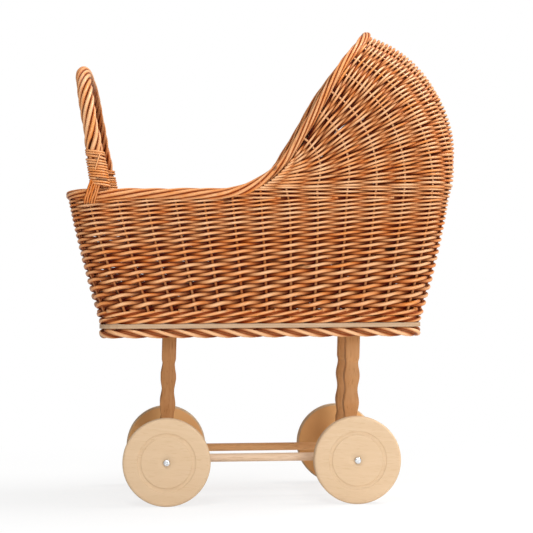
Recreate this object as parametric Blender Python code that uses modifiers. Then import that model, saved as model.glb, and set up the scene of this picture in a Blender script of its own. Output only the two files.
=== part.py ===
"""A doll's pram woven in willow, on a beech undercarriage with four turning wheels.

Metres, +Z up. +X points to the hood end, the way the pram is pushed, and -Y is its right side.
The origin is on the floor, under the middle of the object.
"""

import math

import bmesh
import bpy
from mathutils import Matrix, Vector

# Clearances
GAP = 0.0003
WHEEL_PLAY = 0.0004
SADDLE_PLAY = 0.0008
SUNK_PLAY = 0.00045

# Middle of the cot and of the wheels, which lies a little behind the origin, because the hood bulges
MIDDLE_X = -0.004

# Wheels
WHEEL_DIAMETER = 0.105
WHEEL_THICKNESS = 0.018
WHEEL_EDGE_ROUND = 0.003
WHEEL_SEGMENTS = 32
RING_RADIUS = 0.0325
RING_WIDTH = 0.004
RING_DEPTH = 0.0012
WHEELBASE = 0.2276
TRACK = 0.235

# Wheel screws and washers
WHEEL_SCREW_SHANK_DIAMETER = 0.005
WHEEL_SCREW_HEAD_DIAMETER = 0.008
WHEEL_SCREW_HEAD_HEIGHT = 0.0028
WHEEL_SCREW_GRIP = 0.018
WASHER_DIAMETER = 0.014
WASHER_THICKNESS = 0.0012

# Beams across the pram, and the rails between them
BEAM_WIDTH = 0.018
BEAM_HEIGHT = 0.020
RAIL_DIAMETER = 0.010
RAIL_SPACING = 0.140
RAIL_SOCKET_DEPTH = 0.008

# Legs
LEG_SPACING = 0.082
LEG_BLOCK_WIDTH = 0.0176
LEG_WAIST_WIDTH = 0.0152
LEG_SWELL_WIDTH = 0.0192
LEG_FOOT_BLOCK_HEIGHT = 0.0294
LEG_SHOULDER_HEIGHT = 0.007
LEG_TURNED_HEIGHT = 0.067
LEG_TOP_BLOCK_HEIGHT = 0.0377
LEG_SWELLS = 2
LEG_TOP_OFFSET = 0.005

# Screws that hold the legs to the board and to the beams
LEG_SCREW_SHANK_DIAMETER = 0.004
LEG_SCREW_HEAD_DIAMETER = 0.008
LEG_SCREW_HEAD_HEIGHT = 0.0022
LEG_SCREW_GRIP = 0.020

# Base board and the rings of willow around its edge; the foot lies further forward than the rim
BOARD_THICKNESS = 0.005
BASE_HALF_LENGTH = 0.196
BASE_HALF_WIDTH = 0.112
FOOT_SHIFT = 0.002
COT_CORNER_RADIUS = 0.034
FOOT_BORDER_DIAMETER = 0.0106
LOWER_WALE_DIAMETER = 0.0072
UPPER_WALE_DIAMETER = 0.0086
BED_MARGIN = 0.006

# Woven cot
COT_HEIGHT = 0.1545
RIM_BORDER_DIAMETER = 0.013
WEAVE_THICKNESS = 0.007
WEAVE_RELIEF = 0.0026
COT_ROWS = 18
ROW_SHRINK = 0.42
COT_FLARE_LENGTH = 0.0345
COT_FLARE_WIDTH = 0.028
COT_BELLY = 0.3

# Woven hood, which fans out from the bend in the border
HOOD_LENGTH = 0.2285
HOOD_SLOPE = math.radians(56.0)
BORDER_BEND_LENGTH = 0.055
HOOD_FRONT_REACH = 0.1985
HOOD_ROUNDNESS = 1.8
HOOD_SIDE_BULGE = 0.004
HOOD_FRONT_HALF_WIDTH = 0.130
HOOD_CROWN_FLAT = 0.005
HOOD_ROWS = 20

# Bow handle
HANDLE_FROM_CORNER = 0.010
HANDLE_SKEW = 0.002
HANDLE_LEAN = math.radians(9.2)
HANDLE_DIAMETER = 0.0184
HANDLE_RISE = 0.152
HANDLE_BEND_RADIUS = 0.080
BINDING_DIAMETER = 0.0224
BINDING_HEIGHT = 0.041
SADDLE_THICKNESS = 0.004
SADDLE_WIDTH = 0.012
SADDLE_DROP = 0.011

# Places worked out from the sizes above
AXLE_HEIGHT = WHEEL_DIAMETER / 2 * math.cos(math.pi / WHEEL_SEGMENTS)
BEAM_LENGTH = TRACK - WHEEL_THICKNESS - 2 * (WASHER_THICKNESS + 2 * GAP)
LEG_FOOT = AXLE_HEIGHT + BEAM_HEIGHT / 2 + GAP
TURNED_BOTTOM = LEG_FOOT + LEG_FOOT_BLOCK_HEIGHT + LEG_SHOULDER_HEIGHT
TURNED_TOP = TURNED_BOTTOM + LEG_TURNED_HEIGHT
LEG_TOP = TURNED_TOP + LEG_SHOULDER_HEIGHT + LEG_TOP_BLOCK_HEIGHT
BASE_HEIGHT = LEG_TOP + GAP
BOARD_TOP = BASE_HEIGHT + BOARD_THICKNESS
LOWER_WALE_HEIGHT = BOARD_TOP + GAP + LOWER_WALE_DIAMETER / 2
UPPER_WALE_HEIGHT = LOWER_WALE_HEIGHT + (LOWER_WALE_DIAMETER + UPPER_WALE_DIAMETER) / 2 + GAP
COT_BOTTOM = UPPER_WALE_HEIGHT + UPPER_WALE_DIAMETER / 2 + GAP
BED_HALF_LENGTH = WHEELBASE / 2 - abs(LEG_TOP_OFFSET) - LEG_SCREW_HEAD_DIAMETER / 2 - BED_MARGIN
BED_HALF_WIDTH = BASE_HALF_WIDTH - LOWER_WALE_DIAMETER - BED_MARGIN
RIM_HEIGHT = BOARD_TOP + COT_HEIGHT
RIM_HALF_LENGTH = BASE_HALF_LENGTH + COT_FLARE_LENGTH
RIM_SIDE_Y = BASE_HALF_WIDTH + COT_FLARE_WIDTH - WEAVE_THICKNESS / 2
HOOD_BOTTOM = RIM_HEIGHT - RIM_BORDER_DIAMETER / 2 - GAP
COT_TOP = HOOD_BOTTOM - GAP
BORDER_BEND_RADIUS = BORDER_BEND_LENGTH / math.tan(HOOD_SLOPE / 2)
BEND_CENTRE_X = MIDDLE_X + RIM_HALF_LENGTH - HOOD_LENGTH - BORDER_BEND_LENGTH
BEND_CENTRE_Z = RIM_HEIGHT + BORDER_BEND_RADIUS
HOOD_EDGE_RADIUS = BEND_CENTRE_Z - HOOD_BOTTOM
HANDLE_X = MIDDLE_X - RIM_HALF_LENGTH + COT_CORNER_RADIUS + HANDLE_FROM_CORNER

# How finely round shapes are faceted
ROUND_SEGMENTS = 16
SCREW_SEGMENTS = 12
CORNER_STEPS = 5
BEND_STEPS = 7
ARCH_STEPS = 6
SADDLE_STEPS = 8
COT_INNER_LEVELS = 4
LEG_STEPS_PER_SWELL = 6
WELD_DISTANCE = 0.00001
SHARP_ANGLE = math.radians(35)

PARTS = "wicker_dolls_pram"
CUTTERS = "cutters"
ENDS = {"front": 1, "rear": -1}
SIDES = {"left": 1, "right": -1}


def start_scene():
    """Removes what the scene holds and makes the two collections."""
    for obj in list(bpy.data.objects):
        bpy.data.objects.remove(obj, do_unlink=True)
    for name in (PARTS, CUTTERS):
        bpy.context.scene.collection.children.link(bpy.data.collections.new(name))


def finish_of(name, color, roughness, metallic=0.0):
    """A plain Principled material."""
    material = bpy.data.materials.new(name)
    material.use_nodes = True
    shader = material.node_tree.nodes["Principled BSDF"]
    shader.inputs["Base Color"].default_value = (*color, 1.0)
    shader.inputs["Roughness"].default_value = roughness
    shader.inputs["Metallic"].default_value = metallic
    return material


def place(name, data, material=None, matrix=None, cutter=False):
    """Puts mesh or curve data in the scene as a named part, or as a hidden cutter."""
    obj = bpy.data.objects.new(name, data)
    bpy.data.collections[CUTTERS if cutter else PARTS].objects.link(obj)
    obj.matrix_world = matrix or Matrix.Identity(4)
    if material:
        data.materials.append(material)
    if cutter:
        obj.hide_render = True
        obj.display_type = "WIRE"
    return obj


def shade_round(mesh):
    """Shades a mesh smooth, except across its sharp edges."""
    mesh.shade_smooth()
    mesh.set_sharp_from_angle(angle=SHARP_ANGLE)


def shape_of(drawn):
    """Takes the evaluated shape of a drawn object as a welded mesh and removes the drawn object."""
    graph = bpy.context.evaluated_depsgraph_get()
    mesh = bpy.data.meshes.new_from_object(drawn.evaluated_get(graph))
    bpy.data.objects.remove(drawn)
    work = bmesh.new()
    work.from_mesh(mesh)
    bmesh.ops.remove_doubles(work, verts=work.verts, dist=WELD_DISTANCE)
    bmesh.ops.recalc_face_normals(work, faces=work.faces)
    work.to_mesh(mesh)
    work.free()
    shade_round(mesh)
    return mesh


def turned(name, profile, material, matrix, segments, ring=False):
    """A turned piece: profile points (radius, height) run out along the top and down the outer side."""
    mesh = bpy.data.meshes.new(name + "_profile")
    edges = [(i, i + 1) for i in range(len(profile) - 1)]
    if ring:
        edges.append((len(profile) - 1, 0))
    mesh.from_pydata([(radius, 0.0, height) for radius, height in profile], edges, [])
    drawn = place(name + "_profile", mesh)
    screw = drawn.modifiers.new("turn", "SCREW")
    screw.steps = screw.render_steps = segments
    screw.use_merge_vertices = True
    screw.merge_threshold = WELD_DISTANCE
    return place(name, shape_of(drawn), material, matrix)


def hole_radius(shaft_diameter, segments, play=GAP):
    """Radius of a faceted hole whose flats clear a shaft by the play."""
    return (shaft_diameter / 2 + play) / math.cos(math.pi / segments)


def across(side):
    """Turns a piece made along +Z so that it points out of the pram's left (1) or right (-1) side."""
    return Matrix.Rotation(-side * math.pi / 2, 4, "X")


def cylinder_cutter(name, radius, low, high, matrix, segments=ROUND_SEGMENTS, top_radius=None):
    """A hidden cylinder between two heights along its own Z, or a cone with another radius at its top."""
    work = bmesh.new()
    bmesh.ops.create_cone(
        work,
        cap_ends=True,
        segments=segments,
        radius1=radius,
        radius2=top_radius or radius,
        depth=high - low,
        matrix=Matrix.Translation((0, 0, (low + high) / 2)),
    )
    mesh = bpy.data.meshes.new(name)
    work.to_mesh(mesh)
    work.free()
    return place(name, mesh, matrix=matrix, cutter=True)


def cut(obj, cutter):
    """Takes the cutter's shape away from the piece."""
    modifier = obj.modifiers.new(cutter.name, "BOOLEAN")
    modifier.operation = "DIFFERENCE"
    modifier.solver = "EXACT"
    modifier.object = cutter


def rounded_outline(middle_x, half_length, half_width, corner):
    """Corner arcs of a rounded rectangle, as (x, y) points, anticlockwise."""
    points = []
    for quarter, (sx, sy) in enumerate(((1, 1), (-1, 1), (-1, -1), (1, -1))):
        for step in range(CORNER_STEPS + 1):
            angle = (quarter + step / CORNER_STEPS) * math.pi / 2
            x = middle_x + sx * (half_length - corner) + corner * math.cos(angle)
            y = sy * (half_width - corner) + corner * math.sin(angle)
            points.append((x, y))
    return points


def cot_share(height):
    """Share of the way from the board's top, 0, to the rim, 1."""
    return (height - BOARD_TOP) / (RIM_HEIGHT - BOARD_TOP)


def cot_middle_x(height):
    """Where the cot's middle lies along the pram at a height; it leans back from the foot to the rim."""
    return MIDDLE_X + FOOT_SHIFT * (1 - cot_share(height))


def cot_half_sizes(height):
    """Half length and half width of the cot's outer face at a height; the flare eases off upwards."""
    share = cot_share(height)
    eased = (1 + COT_BELLY) * share - COT_BELLY * share * share
    return BASE_HALF_LENGTH + COT_FLARE_LENGTH * eased, BASE_HALF_WIDTH + COT_FLARE_WIDTH * eased


def cot_outline(height, inset=0.0):
    """The cot's outline at a height, moved inwards by the inset."""
    half_length, half_width = cot_half_sizes(height)
    corner = COT_CORNER_RADIUS - inset
    return rounded_outline(cot_middle_x(height), half_length - inset, half_width - inset, corner)


def tube(name, points, diameter, material, closed=False, resolution=2):
    """A rod or rope of round section along the points."""
    curve = bpy.data.curves.new(name, "CURVE")
    curve.dimensions = "3D"
    curve.bevel_depth = diameter / 2
    curve.bevel_resolution = resolution
    curve.use_fill_caps = not closed
    spline = curve.splines.new("POLY")
    spline.points.add(len(points) - 1)
    for spline_point, point in zip(spline.points, points):
        spline_point.co = (*point, 1.0)
    spline.use_cyclic_u = closed
    return place(name, curve, material)


def ring_tube(name, height, diameter, outline, material):
    """A closed rope of willow that follows an outline at one height."""
    return tube(name, [(x, y, height) for x, y in outline], diameter, material, closed=True)


def flat_piece(name, outline, thickness, material, matrix):
    """A flat outline made a solid of this thickness, half to each side of its own XY plane."""
    curve = bpy.data.curves.new(name, "CURVE")
    curve.dimensions = "2D"
    curve.fill_mode = "BOTH"
    curve.extrude = thickness / 2
    spline = curve.splines.new("POLY")
    spline.points.add(len(outline) - 1)
    for spline_point, (x, y) in zip(spline.points, outline):
        spline_point.co = (x, y, 0.0, 1.0)
    spline.use_cyclic_u = True
    return place(name, shape_of(place(name + "_outline", curve)), material, matrix)


def lofted(name, sections, material, ring=False):
    """A solid lofted through closed sections, with its ends capped, or joined in a ring."""
    work = bmesh.new()
    loops = [[work.verts.new(point) for point in section] for section in sections]
    follows = loops[1:] + loops[:1] if ring else loops[1:]
    for loop, follow in zip(loops, follows):
        for corner, start in enumerate(loop):
            work.faces.new((loop[corner - 1], start, follow[corner], follow[corner - 1]))
    if not ring:
        work.faces.new(loops[0])
        work.faces.new(loops[-1])
    bmesh.ops.recalc_face_normals(work, faces=work.faces)
    mesh = bpy.data.meshes.new(name)
    work.to_mesh(mesh)
    work.free()
    shade_round(mesh)
    return place(name, mesh, material)


def box(name, size, material, matrix):
    """A box of this size, centred on the matrix's origin."""
    work = bmesh.new()
    bmesh.ops.create_cube(work, size=1.0, matrix=Matrix.Diagonal((*size, 1.0)))
    mesh = bpy.data.meshes.new(name)
    work.to_mesh(mesh)
    work.free()
    return place(name, mesh, material, matrix)


def screw_profile(head_diameter, head_height, shank_diameter, length):
    """Section of a round-headed screw: head above its seat at height 0, pointed shank below it."""
    head = head_diameter / 2
    shank = shank_diameter / 2
    arc = [math.radians(angle) for angle in (90, 60, 30, 0)]
    return [
        *[(head * math.cos(angle), head_height * math.sin(angle)) for angle in arc],
        (shank, 0.0),
        (shank, shank - length),
        (0.0, -length),
    ]


def sunk_screw_profile(head_diameter, head_height, shank_diameter, length):
    """Section of a sunk screw: the flat of its head at height 0, its cone and a pointed shank below it."""
    shank = shank_diameter / 2
    return [(0.0, 0.0), (head_diameter / 2, 0.0), (shank, -head_height), (shank, shank - length), (0.0, -length)]


def wheel_x(end):
    """Where a beam lies along the pram, for the front (1) or rear (-1)."""
    return MIDDLE_X + end * WHEELBASE / 2


def wheel_profile():
    """Section of a wheel: rounded rim, a ring turned in its outer face and a bore for its screw."""
    half = WHEEL_THICKNESS / 2
    radius = WHEEL_DIAMETER / 2
    edge = WHEEL_EDGE_ROUND
    corner = edge * (1 - math.sqrt(0.5))
    bore = hole_radius(WHEEL_SCREW_SHANK_DIAMETER, WHEEL_SEGMENTS, WHEEL_PLAY)
    return [
        (bore, half),
        (RING_RADIUS - RING_WIDTH / 2, half),
        (RING_RADIUS, half - RING_DEPTH),
        (RING_RADIUS + RING_WIDTH / 2, half),
        (radius - edge, half),
        (radius - corner, half - corner),
        (radius, half - edge),
        (radius, edge - half),
        (radius - corner, corner - half),
        (radius - edge, -half),
        (bore, -half),
    ]


def make_wheels(beech, steel):
    """Four wheels, each with the screw that it turns on and a washer behind it."""
    facet_down = Matrix.Rotation(math.pi / WHEEL_SEGMENTS, 4, "Z")
    screw_length = WHEEL_THICKNESS + WASHER_THICKNESS + 3 * GAP + WHEEL_SCREW_GRIP
    screw = screw_profile(
        WHEEL_SCREW_HEAD_DIAMETER, WHEEL_SCREW_HEAD_HEIGHT, WHEEL_SCREW_SHANK_DIAMETER, screw_length
    )
    washer_hole = hole_radius(WHEEL_SCREW_SHANK_DIAMETER, ROUND_SEGMENTS)
    washer = [
        (WASHER_DIAMETER / 2, WASHER_THICKNESS),
        (WASHER_DIAMETER / 2, 0.0),
        (washer_hole, 0.0),
        (washer_hole, WASHER_THICKNESS),
    ]
    for end_name, end in ENDS.items():
        for side_name, side in SIDES.items():
            label = f"{end_name}_{side_name}"
            hub = Matrix.Translation((wheel_x(end), side * TRACK / 2, AXLE_HEIGHT)) @ across(side)
            turned(f"wheel_{label}", wheel_profile(), beech, hub @ facet_down, WHEEL_SEGMENTS, ring=True)
            head_seat = hub @ Matrix.Translation((0, 0, WHEEL_THICKNESS / 2 + GAP))
            turned(f"wheel_screw_{label}", screw, steel, head_seat, SCREW_SEGMENTS)
            washer_seat = hub @ Matrix.Translation((0, 0, -WHEEL_THICKNESS / 2 - GAP - WASHER_THICKNESS))
            turned(f"washer_{label}", washer, steel, washer_seat, ROUND_SEGMENTS, ring=True)


def bore(obj, name, radius, low, high, matrix, segments=SCREW_SEGMENTS):
    """Bores a round hole in the piece, between two heights along the matrix's Z."""
    cut(obj, cylinder_cutter(name, radius, low, high, matrix, segments))


def sink(obj, name, matrix):
    """Opens a screw hole to a cone that takes a sunk head, with its mouth at the matrix's origin."""
    narrow = hole_radius(LEG_SCREW_SHANK_DIAMETER, SCREW_SEGMENTS, SUNK_PLAY)
    mouth = hole_radius(LEG_SCREW_HEAD_DIAMETER, SCREW_SEGMENTS, SUNK_PLAY)
    depth = LEG_SCREW_HEAD_HEIGHT
    cut(obj, cylinder_cutter(name, narrow, -depth, depth, matrix, SCREW_SEGMENTS, 2 * mouth - narrow))


def make_beams(beech):
    """Two square beams, bored for the wheels' screws, the rails' ends and the legs' screws."""
    pilot = hole_radius(WHEEL_SCREW_SHANK_DIAMETER, SCREW_SEGMENTS)
    pilot_bottom = BEAM_LENGTH / 2 - WHEEL_SCREW_GRIP - GAP
    socket = hole_radius(RAIL_DIAMETER, ROUND_SEGMENTS)
    socket_bottom = BEAM_WIDTH / 2 - RAIL_SOCKET_DEPTH - GAP
    screw_hole = hole_radius(LEG_SCREW_SHANK_DIAMETER, SCREW_SEGMENTS)
    for end_name, end in ENDS.items():
        middle = Matrix.Translation((wheel_x(end), 0, AXLE_HEIGHT))
        beam = box(f"beam_{end_name}", (BEAM_WIDTH, BEAM_LENGTH, BEAM_HEIGHT), beech, middle)
        inwards = Matrix.Rotation(-end * math.pi / 2, 4, "Y")
        for side_name, side in SIDES.items():
            label = f"{end_name}_{side_name}"
            rail_end = middle @ Matrix.Translation((0, side * RAIL_SPACING / 2, 0)) @ inwards
            leg_foot = middle @ Matrix.Translation((0, side * LEG_SPACING / 2, 0))
            bore(beam, f"cut_pilot_{label}", pilot, pilot_bottom, BEAM_LENGTH, middle @ across(side))
            bore(beam, f"cut_socket_{label}", socket, socket_bottom, BEAM_WIDTH, rail_end, ROUND_SEGMENTS)
            bore(beam, f"cut_foot_screw_{label}", screw_hole, -BEAM_HEIGHT, BEAM_HEIGHT, leg_foot)


def make_rails(beech):
    """Two dowels along the pram, with their ends in the beams' sockets."""
    half = WHEELBASE / 2 - BEAM_WIDTH / 2 + RAIL_SOCKET_DEPTH
    radius = RAIL_DIAMETER / 2
    profile = [(0.0, half), (radius, half), (radius, -half), (0.0, -half)]
    for side_name, side in SIDES.items():
        middle = Matrix.Translation((MIDDLE_X, side * RAIL_SPACING / 2, AXLE_HEIGHT))
        along = middle @ Matrix.Rotation(math.pi / 2, 4, "Y")
        turned(f"rail_{side_name}", profile, beech, along, ROUND_SEGMENTS)


def leg_half_width(height):
    """Half width of a leg at a height: square blocks at both ends and swells between waists."""
    if TURNED_BOTTOM <= height <= TURNED_TOP:
        share = (height - TURNED_BOTTOM) / LEG_TURNED_HEIGHT
        swell = (1 - math.cos(2 * math.pi * LEG_SWELLS * share)) / 2
        return (LEG_WAIST_WIDTH + (LEG_SWELL_WIDTH - LEG_WAIST_WIDTH) * swell) / 2
    return LEG_BLOCK_WIDTH / 2


def leg_x(end, height):
    """Middle of a leg at a height: it leans, so that its top is a little further forward."""
    return wheel_x(end) + LEG_TOP_OFFSET * (height - LEG_FOOT) / (LEG_TOP - LEG_FOOT)


def leg_levels():
    """Heights of a leg's sections, from its foot to its top."""
    steps = LEG_STEPS_PER_SWELL * LEG_SWELLS
    waves = [TURNED_BOTTOM + LEG_TURNED_HEIGHT * step / steps for step in range(steps)]
    shoulders = (TURNED_BOTTOM - LEG_SHOULDER_HEIGHT, TURNED_TOP + LEG_SHOULDER_HEIGHT)
    return [LEG_FOOT, shoulders[0], *waves, TURNED_TOP, shoulders[1], LEG_TOP]


def make_leg(label, end, side, beech):
    """One leg, bored at both ends for the screws that hold it."""
    y = side * LEG_SPACING / 2
    sections = []
    for height in leg_levels():
        x = leg_x(end, height)
        half = leg_half_width(height)
        corners = ((1, 1), (-1, 1), (-1, -1), (1, -1))
        sections.append([(x + sx * half, y + sy * half, height) for sx, sy in corners])
    leg = lofted(f"leg_{label}", sections, beech)
    hole = hole_radius(LEG_SCREW_SHANK_DIAMETER, SCREW_SEGMENTS)
    depth = LEG_SCREW_GRIP + GAP
    top = Matrix.Translation((leg_x(end, LEG_TOP), y, LEG_TOP))
    foot = Matrix.Translation((wheel_x(end), y, LEG_FOOT))
    bore(leg, f"cut_leg_top_{label}", hole, -depth, depth, top)
    bore(leg, f"cut_leg_foot_{label}", hole, -depth, depth, foot)


def make_leg_screws(label, end, side, steel):
    """The screws that hold a leg: one sunk in the board, and a round-headed one up through the beam."""
    y = side * LEG_SPACING / 2
    sizes = (LEG_SCREW_HEAD_DIAMETER, LEG_SCREW_HEAD_HEIGHT, LEG_SCREW_SHANK_DIAMETER)
    down = Matrix.Translation((leg_x(end, LEG_TOP), y, BOARD_TOP))
    through_board = BOARD_THICKNESS + GAP + LEG_SCREW_GRIP
    turned(f"board_screw_{label}", sunk_screw_profile(*sizes, through_board), steel, down, SCREW_SEGMENTS)
    under = Matrix.Translation((wheel_x(end), y, AXLE_HEIGHT - BEAM_HEIGHT / 2 - GAP))
    through_beam = BEAM_HEIGHT + 2 * GAP + LEG_SCREW_GRIP
    up = under @ Matrix.Rotation(math.pi, 4, "X")
    turned(f"foot_screw_{label}", screw_profile(*sizes, through_beam), steel, up, SCREW_SEGMENTS)


def mark_out_bed(board):
    """Makes the bed a face of its own on the board: the rectangle inside the wale, between the screws."""
    work = bmesh.new()
    work.from_mesh(board.data)
    for across_bed, reach in ((Vector((1, 0, 0)), BED_HALF_LENGTH), (Vector((0, 1, 0)), BED_HALF_WIDTH)):
        for side in (1, -1):
            everything = [*work.verts, *work.edges, *work.faces]
            edge = Vector((MIDDLE_X, 0, 0)) + side * reach * across_bed
            bmesh.ops.bisect_plane(work, geom=everything, plane_co=edge, plane_no=across_bed)
    work.to_mesh(board.data)
    work.free()


def make_base(plywood):
    """The board under the cot, drilled for the screws that hold it to the legs."""
    outline = cot_outline(BOARD_TOP)
    faces = [[(x, y, height) for x, y in outline] for height in (BASE_HEIGHT, BOARD_TOP)]
    board = lofted("base_board", faces, plywood)
    mark_out_bed(board)
    hole = hole_radius(LEG_SCREW_SHANK_DIAMETER, SCREW_SEGMENTS)
    for end_name, end in ENDS.items():
        for side_name, side in SIDES.items():
            seat = Matrix.Translation((leg_x(end, LEG_TOP), side * LEG_SPACING / 2, BASE_HEIGHT))
            cutter_name = f"cut_board_{end_name}_{side_name}"
            bore(board, cutter_name, hole, -BOARD_THICKNESS, 2 * BOARD_THICKNESS, seat)
            sink(board, cutter_name + "_sink", seat @ Matrix.Translation((0, 0, BOARD_THICKNESS)))


def make_rings(willow):
    """The foot border under the board and the two wales above it."""
    foot = FOOT_BORDER_DIAMETER / 2
    foot_outline = cot_outline(BOARD_TOP, foot)
    ring_tube("foot_border", BASE_HEIGHT - GAP - foot, FOOT_BORDER_DIAMETER, foot_outline, willow)
    for name, height, diameter in (
        ("lower_wale", LOWER_WALE_HEIGHT, LOWER_WALE_DIAMETER),
        ("upper_wale", UPPER_WALE_HEIGHT, UPPER_WALE_DIAMETER),
    ):
        ring_tube(name, height, diameter, cot_outline(height, diameter / 2), willow)


def row_inset(level):
    """Inset of the weave's outer face at a level: 0 on the ridge of a row, the relief in a groove."""
    return WEAVE_RELIEF * (level % 2)


def make_cot(willow):
    """The woven wall of the cot, ridged by its rows of rods, which get finer towards the rim."""
    rise = COT_TOP - COT_BOTTOM
    outer = []
    for level in range(2 * COT_ROWS + 1):
        share = level / (2 * COT_ROWS)
        z = COT_BOTTOM + rise * ((1 + ROW_SHRINK) * share - ROW_SHRINK * share * share)
        outer.append([(x, y, z) for x, y in cot_outline(z, row_inset(level))])
    inner = []
    for step in range(COT_INNER_LEVELS, -1, -1):
        z = COT_BOTTOM + rise * step / COT_INNER_LEVELS
        inner.append([(x, y, z) for x, y in cot_outline(z, WEAVE_THICKNESS)])
    lofted("cot_weave", outer + inner, willow, ring=True)


def hood_half_width(angle):
    """Half width of the hood's middle surface: it swells a little, then narrows to its front edge."""
    share = angle / HOOD_SLOPE
    start = cot_half_sizes(HOOD_BOTTOM)[1] - WEAVE_THICKNESS / 2
    narrowing = (start - HOOD_FRONT_HALF_WIDTH) * share * share
    return start + HOOD_SIDE_BULGE * math.sin(math.pi * share) - narrowing


def hood_reach(angle):
    """How far the hood's outer face reaches at an angle, from where its rows leave the bend."""
    full = cot_middle_x(HOOD_BOTTOM) + cot_half_sizes(HOOD_BOTTOM)[0] - BEND_CENTRE_X
    share = angle / HOOD_SLOPE
    return full - (full - HOOD_FRONT_REACH) * share**HOOD_ROUNDNESS


def hood_point(angle, along, y):
    """A point in the sloping plane at an angle; each plane touches the bend in the border."""
    x = BEND_CENTRE_X + HOOD_EDGE_RADIUS * math.sin(angle) + along * math.cos(angle)
    z = BEND_CENTRE_Z - HOOD_EDGE_RADIUS * math.cos(angle) + along * math.sin(angle)
    return x, y, z


def hood_arch(angle, inset):
    """One arch of the hood, from the right side over the end to the left, as (along, y) points."""
    share = angle / HOOD_SLOPE
    width = hood_half_width(angle) + WEAVE_THICKNESS / 2 - inset
    reach = hood_reach(angle) - inset
    square = COT_CORNER_RADIUS - inset
    corner = square + (width - HOOD_CROWN_FLAT - square) * share
    side = [(0.0, -width), ((reach - corner) / 2, -width)]
    for step in range(ARCH_STEPS + 1):
        turn = step / ARCH_STEPS * math.pi / 2
        side.append((reach - corner + corner * math.sin(turn), -width + corner * (1 - math.cos(turn))))
    return side + [(along, -y) for along, y in reversed(side)]


def make_hood(willow):
    """The woven hood: ridged arches that turn up from the rim's level to the sloping front edge."""
    sections = []
    for level in range(2 * HOOD_ROWS + 1):
        angle = HOOD_SLOPE * level / (2 * HOOD_ROWS)
        section = hood_arch(angle, row_inset(level)) + list(reversed(hood_arch(angle, WEAVE_THICKNESS)))
        sections.append([hood_point(angle, *point) for point in section])
    lofted("hood_weave", sections, willow)


def border_route():
    """The border's closed route: round the cot's rear end, up the hood's left edge, over and down."""
    rim = [point for point in cot_outline(RIM_HEIGHT, WEAVE_THICKNESS / 2) if point[0] < BEND_CENTRE_X]
    rear = [(x, y, RIM_HEIGHT) for x, y in rim]
    bend = []
    for step in range(BEND_STEPS + 1):
        angle = HOOD_SLOPE * step / BEND_STEPS
        y = RIM_SIDE_Y + (HOOD_FRONT_HALF_WIDTH - RIM_SIDE_Y) * step / BEND_STEPS
        x = BEND_CENTRE_X + BORDER_BEND_RADIUS * math.sin(angle)
        z = BEND_CENTRE_Z - BORDER_BEND_RADIUS * math.cos(angle)
        bend.append((x, y, z))
    lift = HOOD_EDGE_RADIUS - BORDER_BEND_RADIUS
    arch = []
    for along, y in hood_arch(HOOD_SLOPE, WEAVE_THICKNESS / 2)[1:-1]:
        x, _, z = hood_point(HOOD_SLOPE, along, y)
        arch.append((x - lift * math.sin(HOOD_SLOPE), y, z + lift * math.cos(HOOD_SLOPE)))
    right_bend = [(x, -y, z) for x, y, z in bend]
    return rear + right_bend + arch + list(reversed(bend))


def make_border(willow):
    """The roped border that runs round the whole opening."""
    tube("rim_border", border_route(), RIM_BORDER_DIAMETER, willow, closed=True, resolution=3)


def handle_foot(side):
    """Where a leg of the handle stands over the rim, to the left (1) or right (-1)."""
    return Vector((HANDLE_X + side * HANDLE_SKEW, side * RIM_SIDE_Y, RIM_HEIGHT))


def make_handle(willow):
    """The bow handle, the binding on each leg and the saddle of rods that ties it to the rim."""
    saddle_inner = RIM_BORDER_DIAMETER / 2 + SADDLE_PLAY
    saddle_outer = saddle_inner + SADDLE_THICKNESS
    foot = (saddle_outer + GAP) / math.cos(HANDLE_LEAN) + math.tan(HANDLE_LEAN) * SADDLE_WIDTH / 2
    rise = HANDLE_RISE / math.cos(HANDLE_LEAN)
    right = [(0.0, -RIM_SIDE_Y, foot), (0.0, -RIM_SIDE_Y, (foot + rise - HANDLE_BEND_RADIUS) / 2)]
    for step in range(BEND_STEPS + 1):
        turn = step / BEND_STEPS * math.pi / 2
        y = -RIM_SIDE_Y + HANDLE_BEND_RADIUS * (1 - math.cos(turn))
        right.append((0.0, y, rise - HANDLE_BEND_RADIUS * (1 - math.sin(turn))))
    left = [(x, -y, z) for x, y, z in reversed(right)]
    lean = Matrix.Rotation(-HANDLE_LEAN, 4, "Y")
    route = []
    for x, y, z in right + left:
        skew = Matrix.Translation((HANDLE_X + HANDLE_SKEW * y / RIM_SIDE_Y, 0, RIM_HEIGHT))
        route.append(skew @ lean @ Vector((x, y, z)))
    tube("handle_bow", route, HANDLE_DIAMETER, willow, resolution=3)
    inner = hole_radius(HANDLE_DIAMETER, ROUND_SEGMENTS)
    binding = [
        (BINDING_DIAMETER / 2, foot + BINDING_HEIGHT),
        (BINDING_DIAMETER / 2, foot),
        (inner, foot),
        (inner, foot + BINDING_HEIGHT),
    ]
    arc = [math.pi * step / SADDLE_STEPS for step in range(SADDLE_STEPS + 1)]
    saddle = [
        (saddle_outer, -SADDLE_DROP),
        *[(saddle_outer * math.cos(angle), saddle_outer * math.sin(angle)) for angle in arc],
        (-saddle_outer, -SADDLE_DROP),
        (-saddle_inner, -SADDLE_DROP),
        *[(saddle_inner * math.cos(angle), saddle_inner * math.sin(angle)) for angle in reversed(arc)],
        (saddle_inner, -SADDLE_DROP),
    ]
    upright = Matrix.Rotation(math.pi / 2, 4, "Z") @ Matrix.Rotation(math.pi / 2, 4, "X")
    for side_name, side in SIDES.items():
        seat = Matrix.Translation(handle_foot(side))
        turned(f"handle_binding_{side_name}", binding, willow, seat @ lean, ROUND_SEGMENTS, ring=True)
        flat_piece(f"handle_saddle_{side_name}", saddle, SADDLE_WIDTH, willow, seat @ upright)


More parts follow.
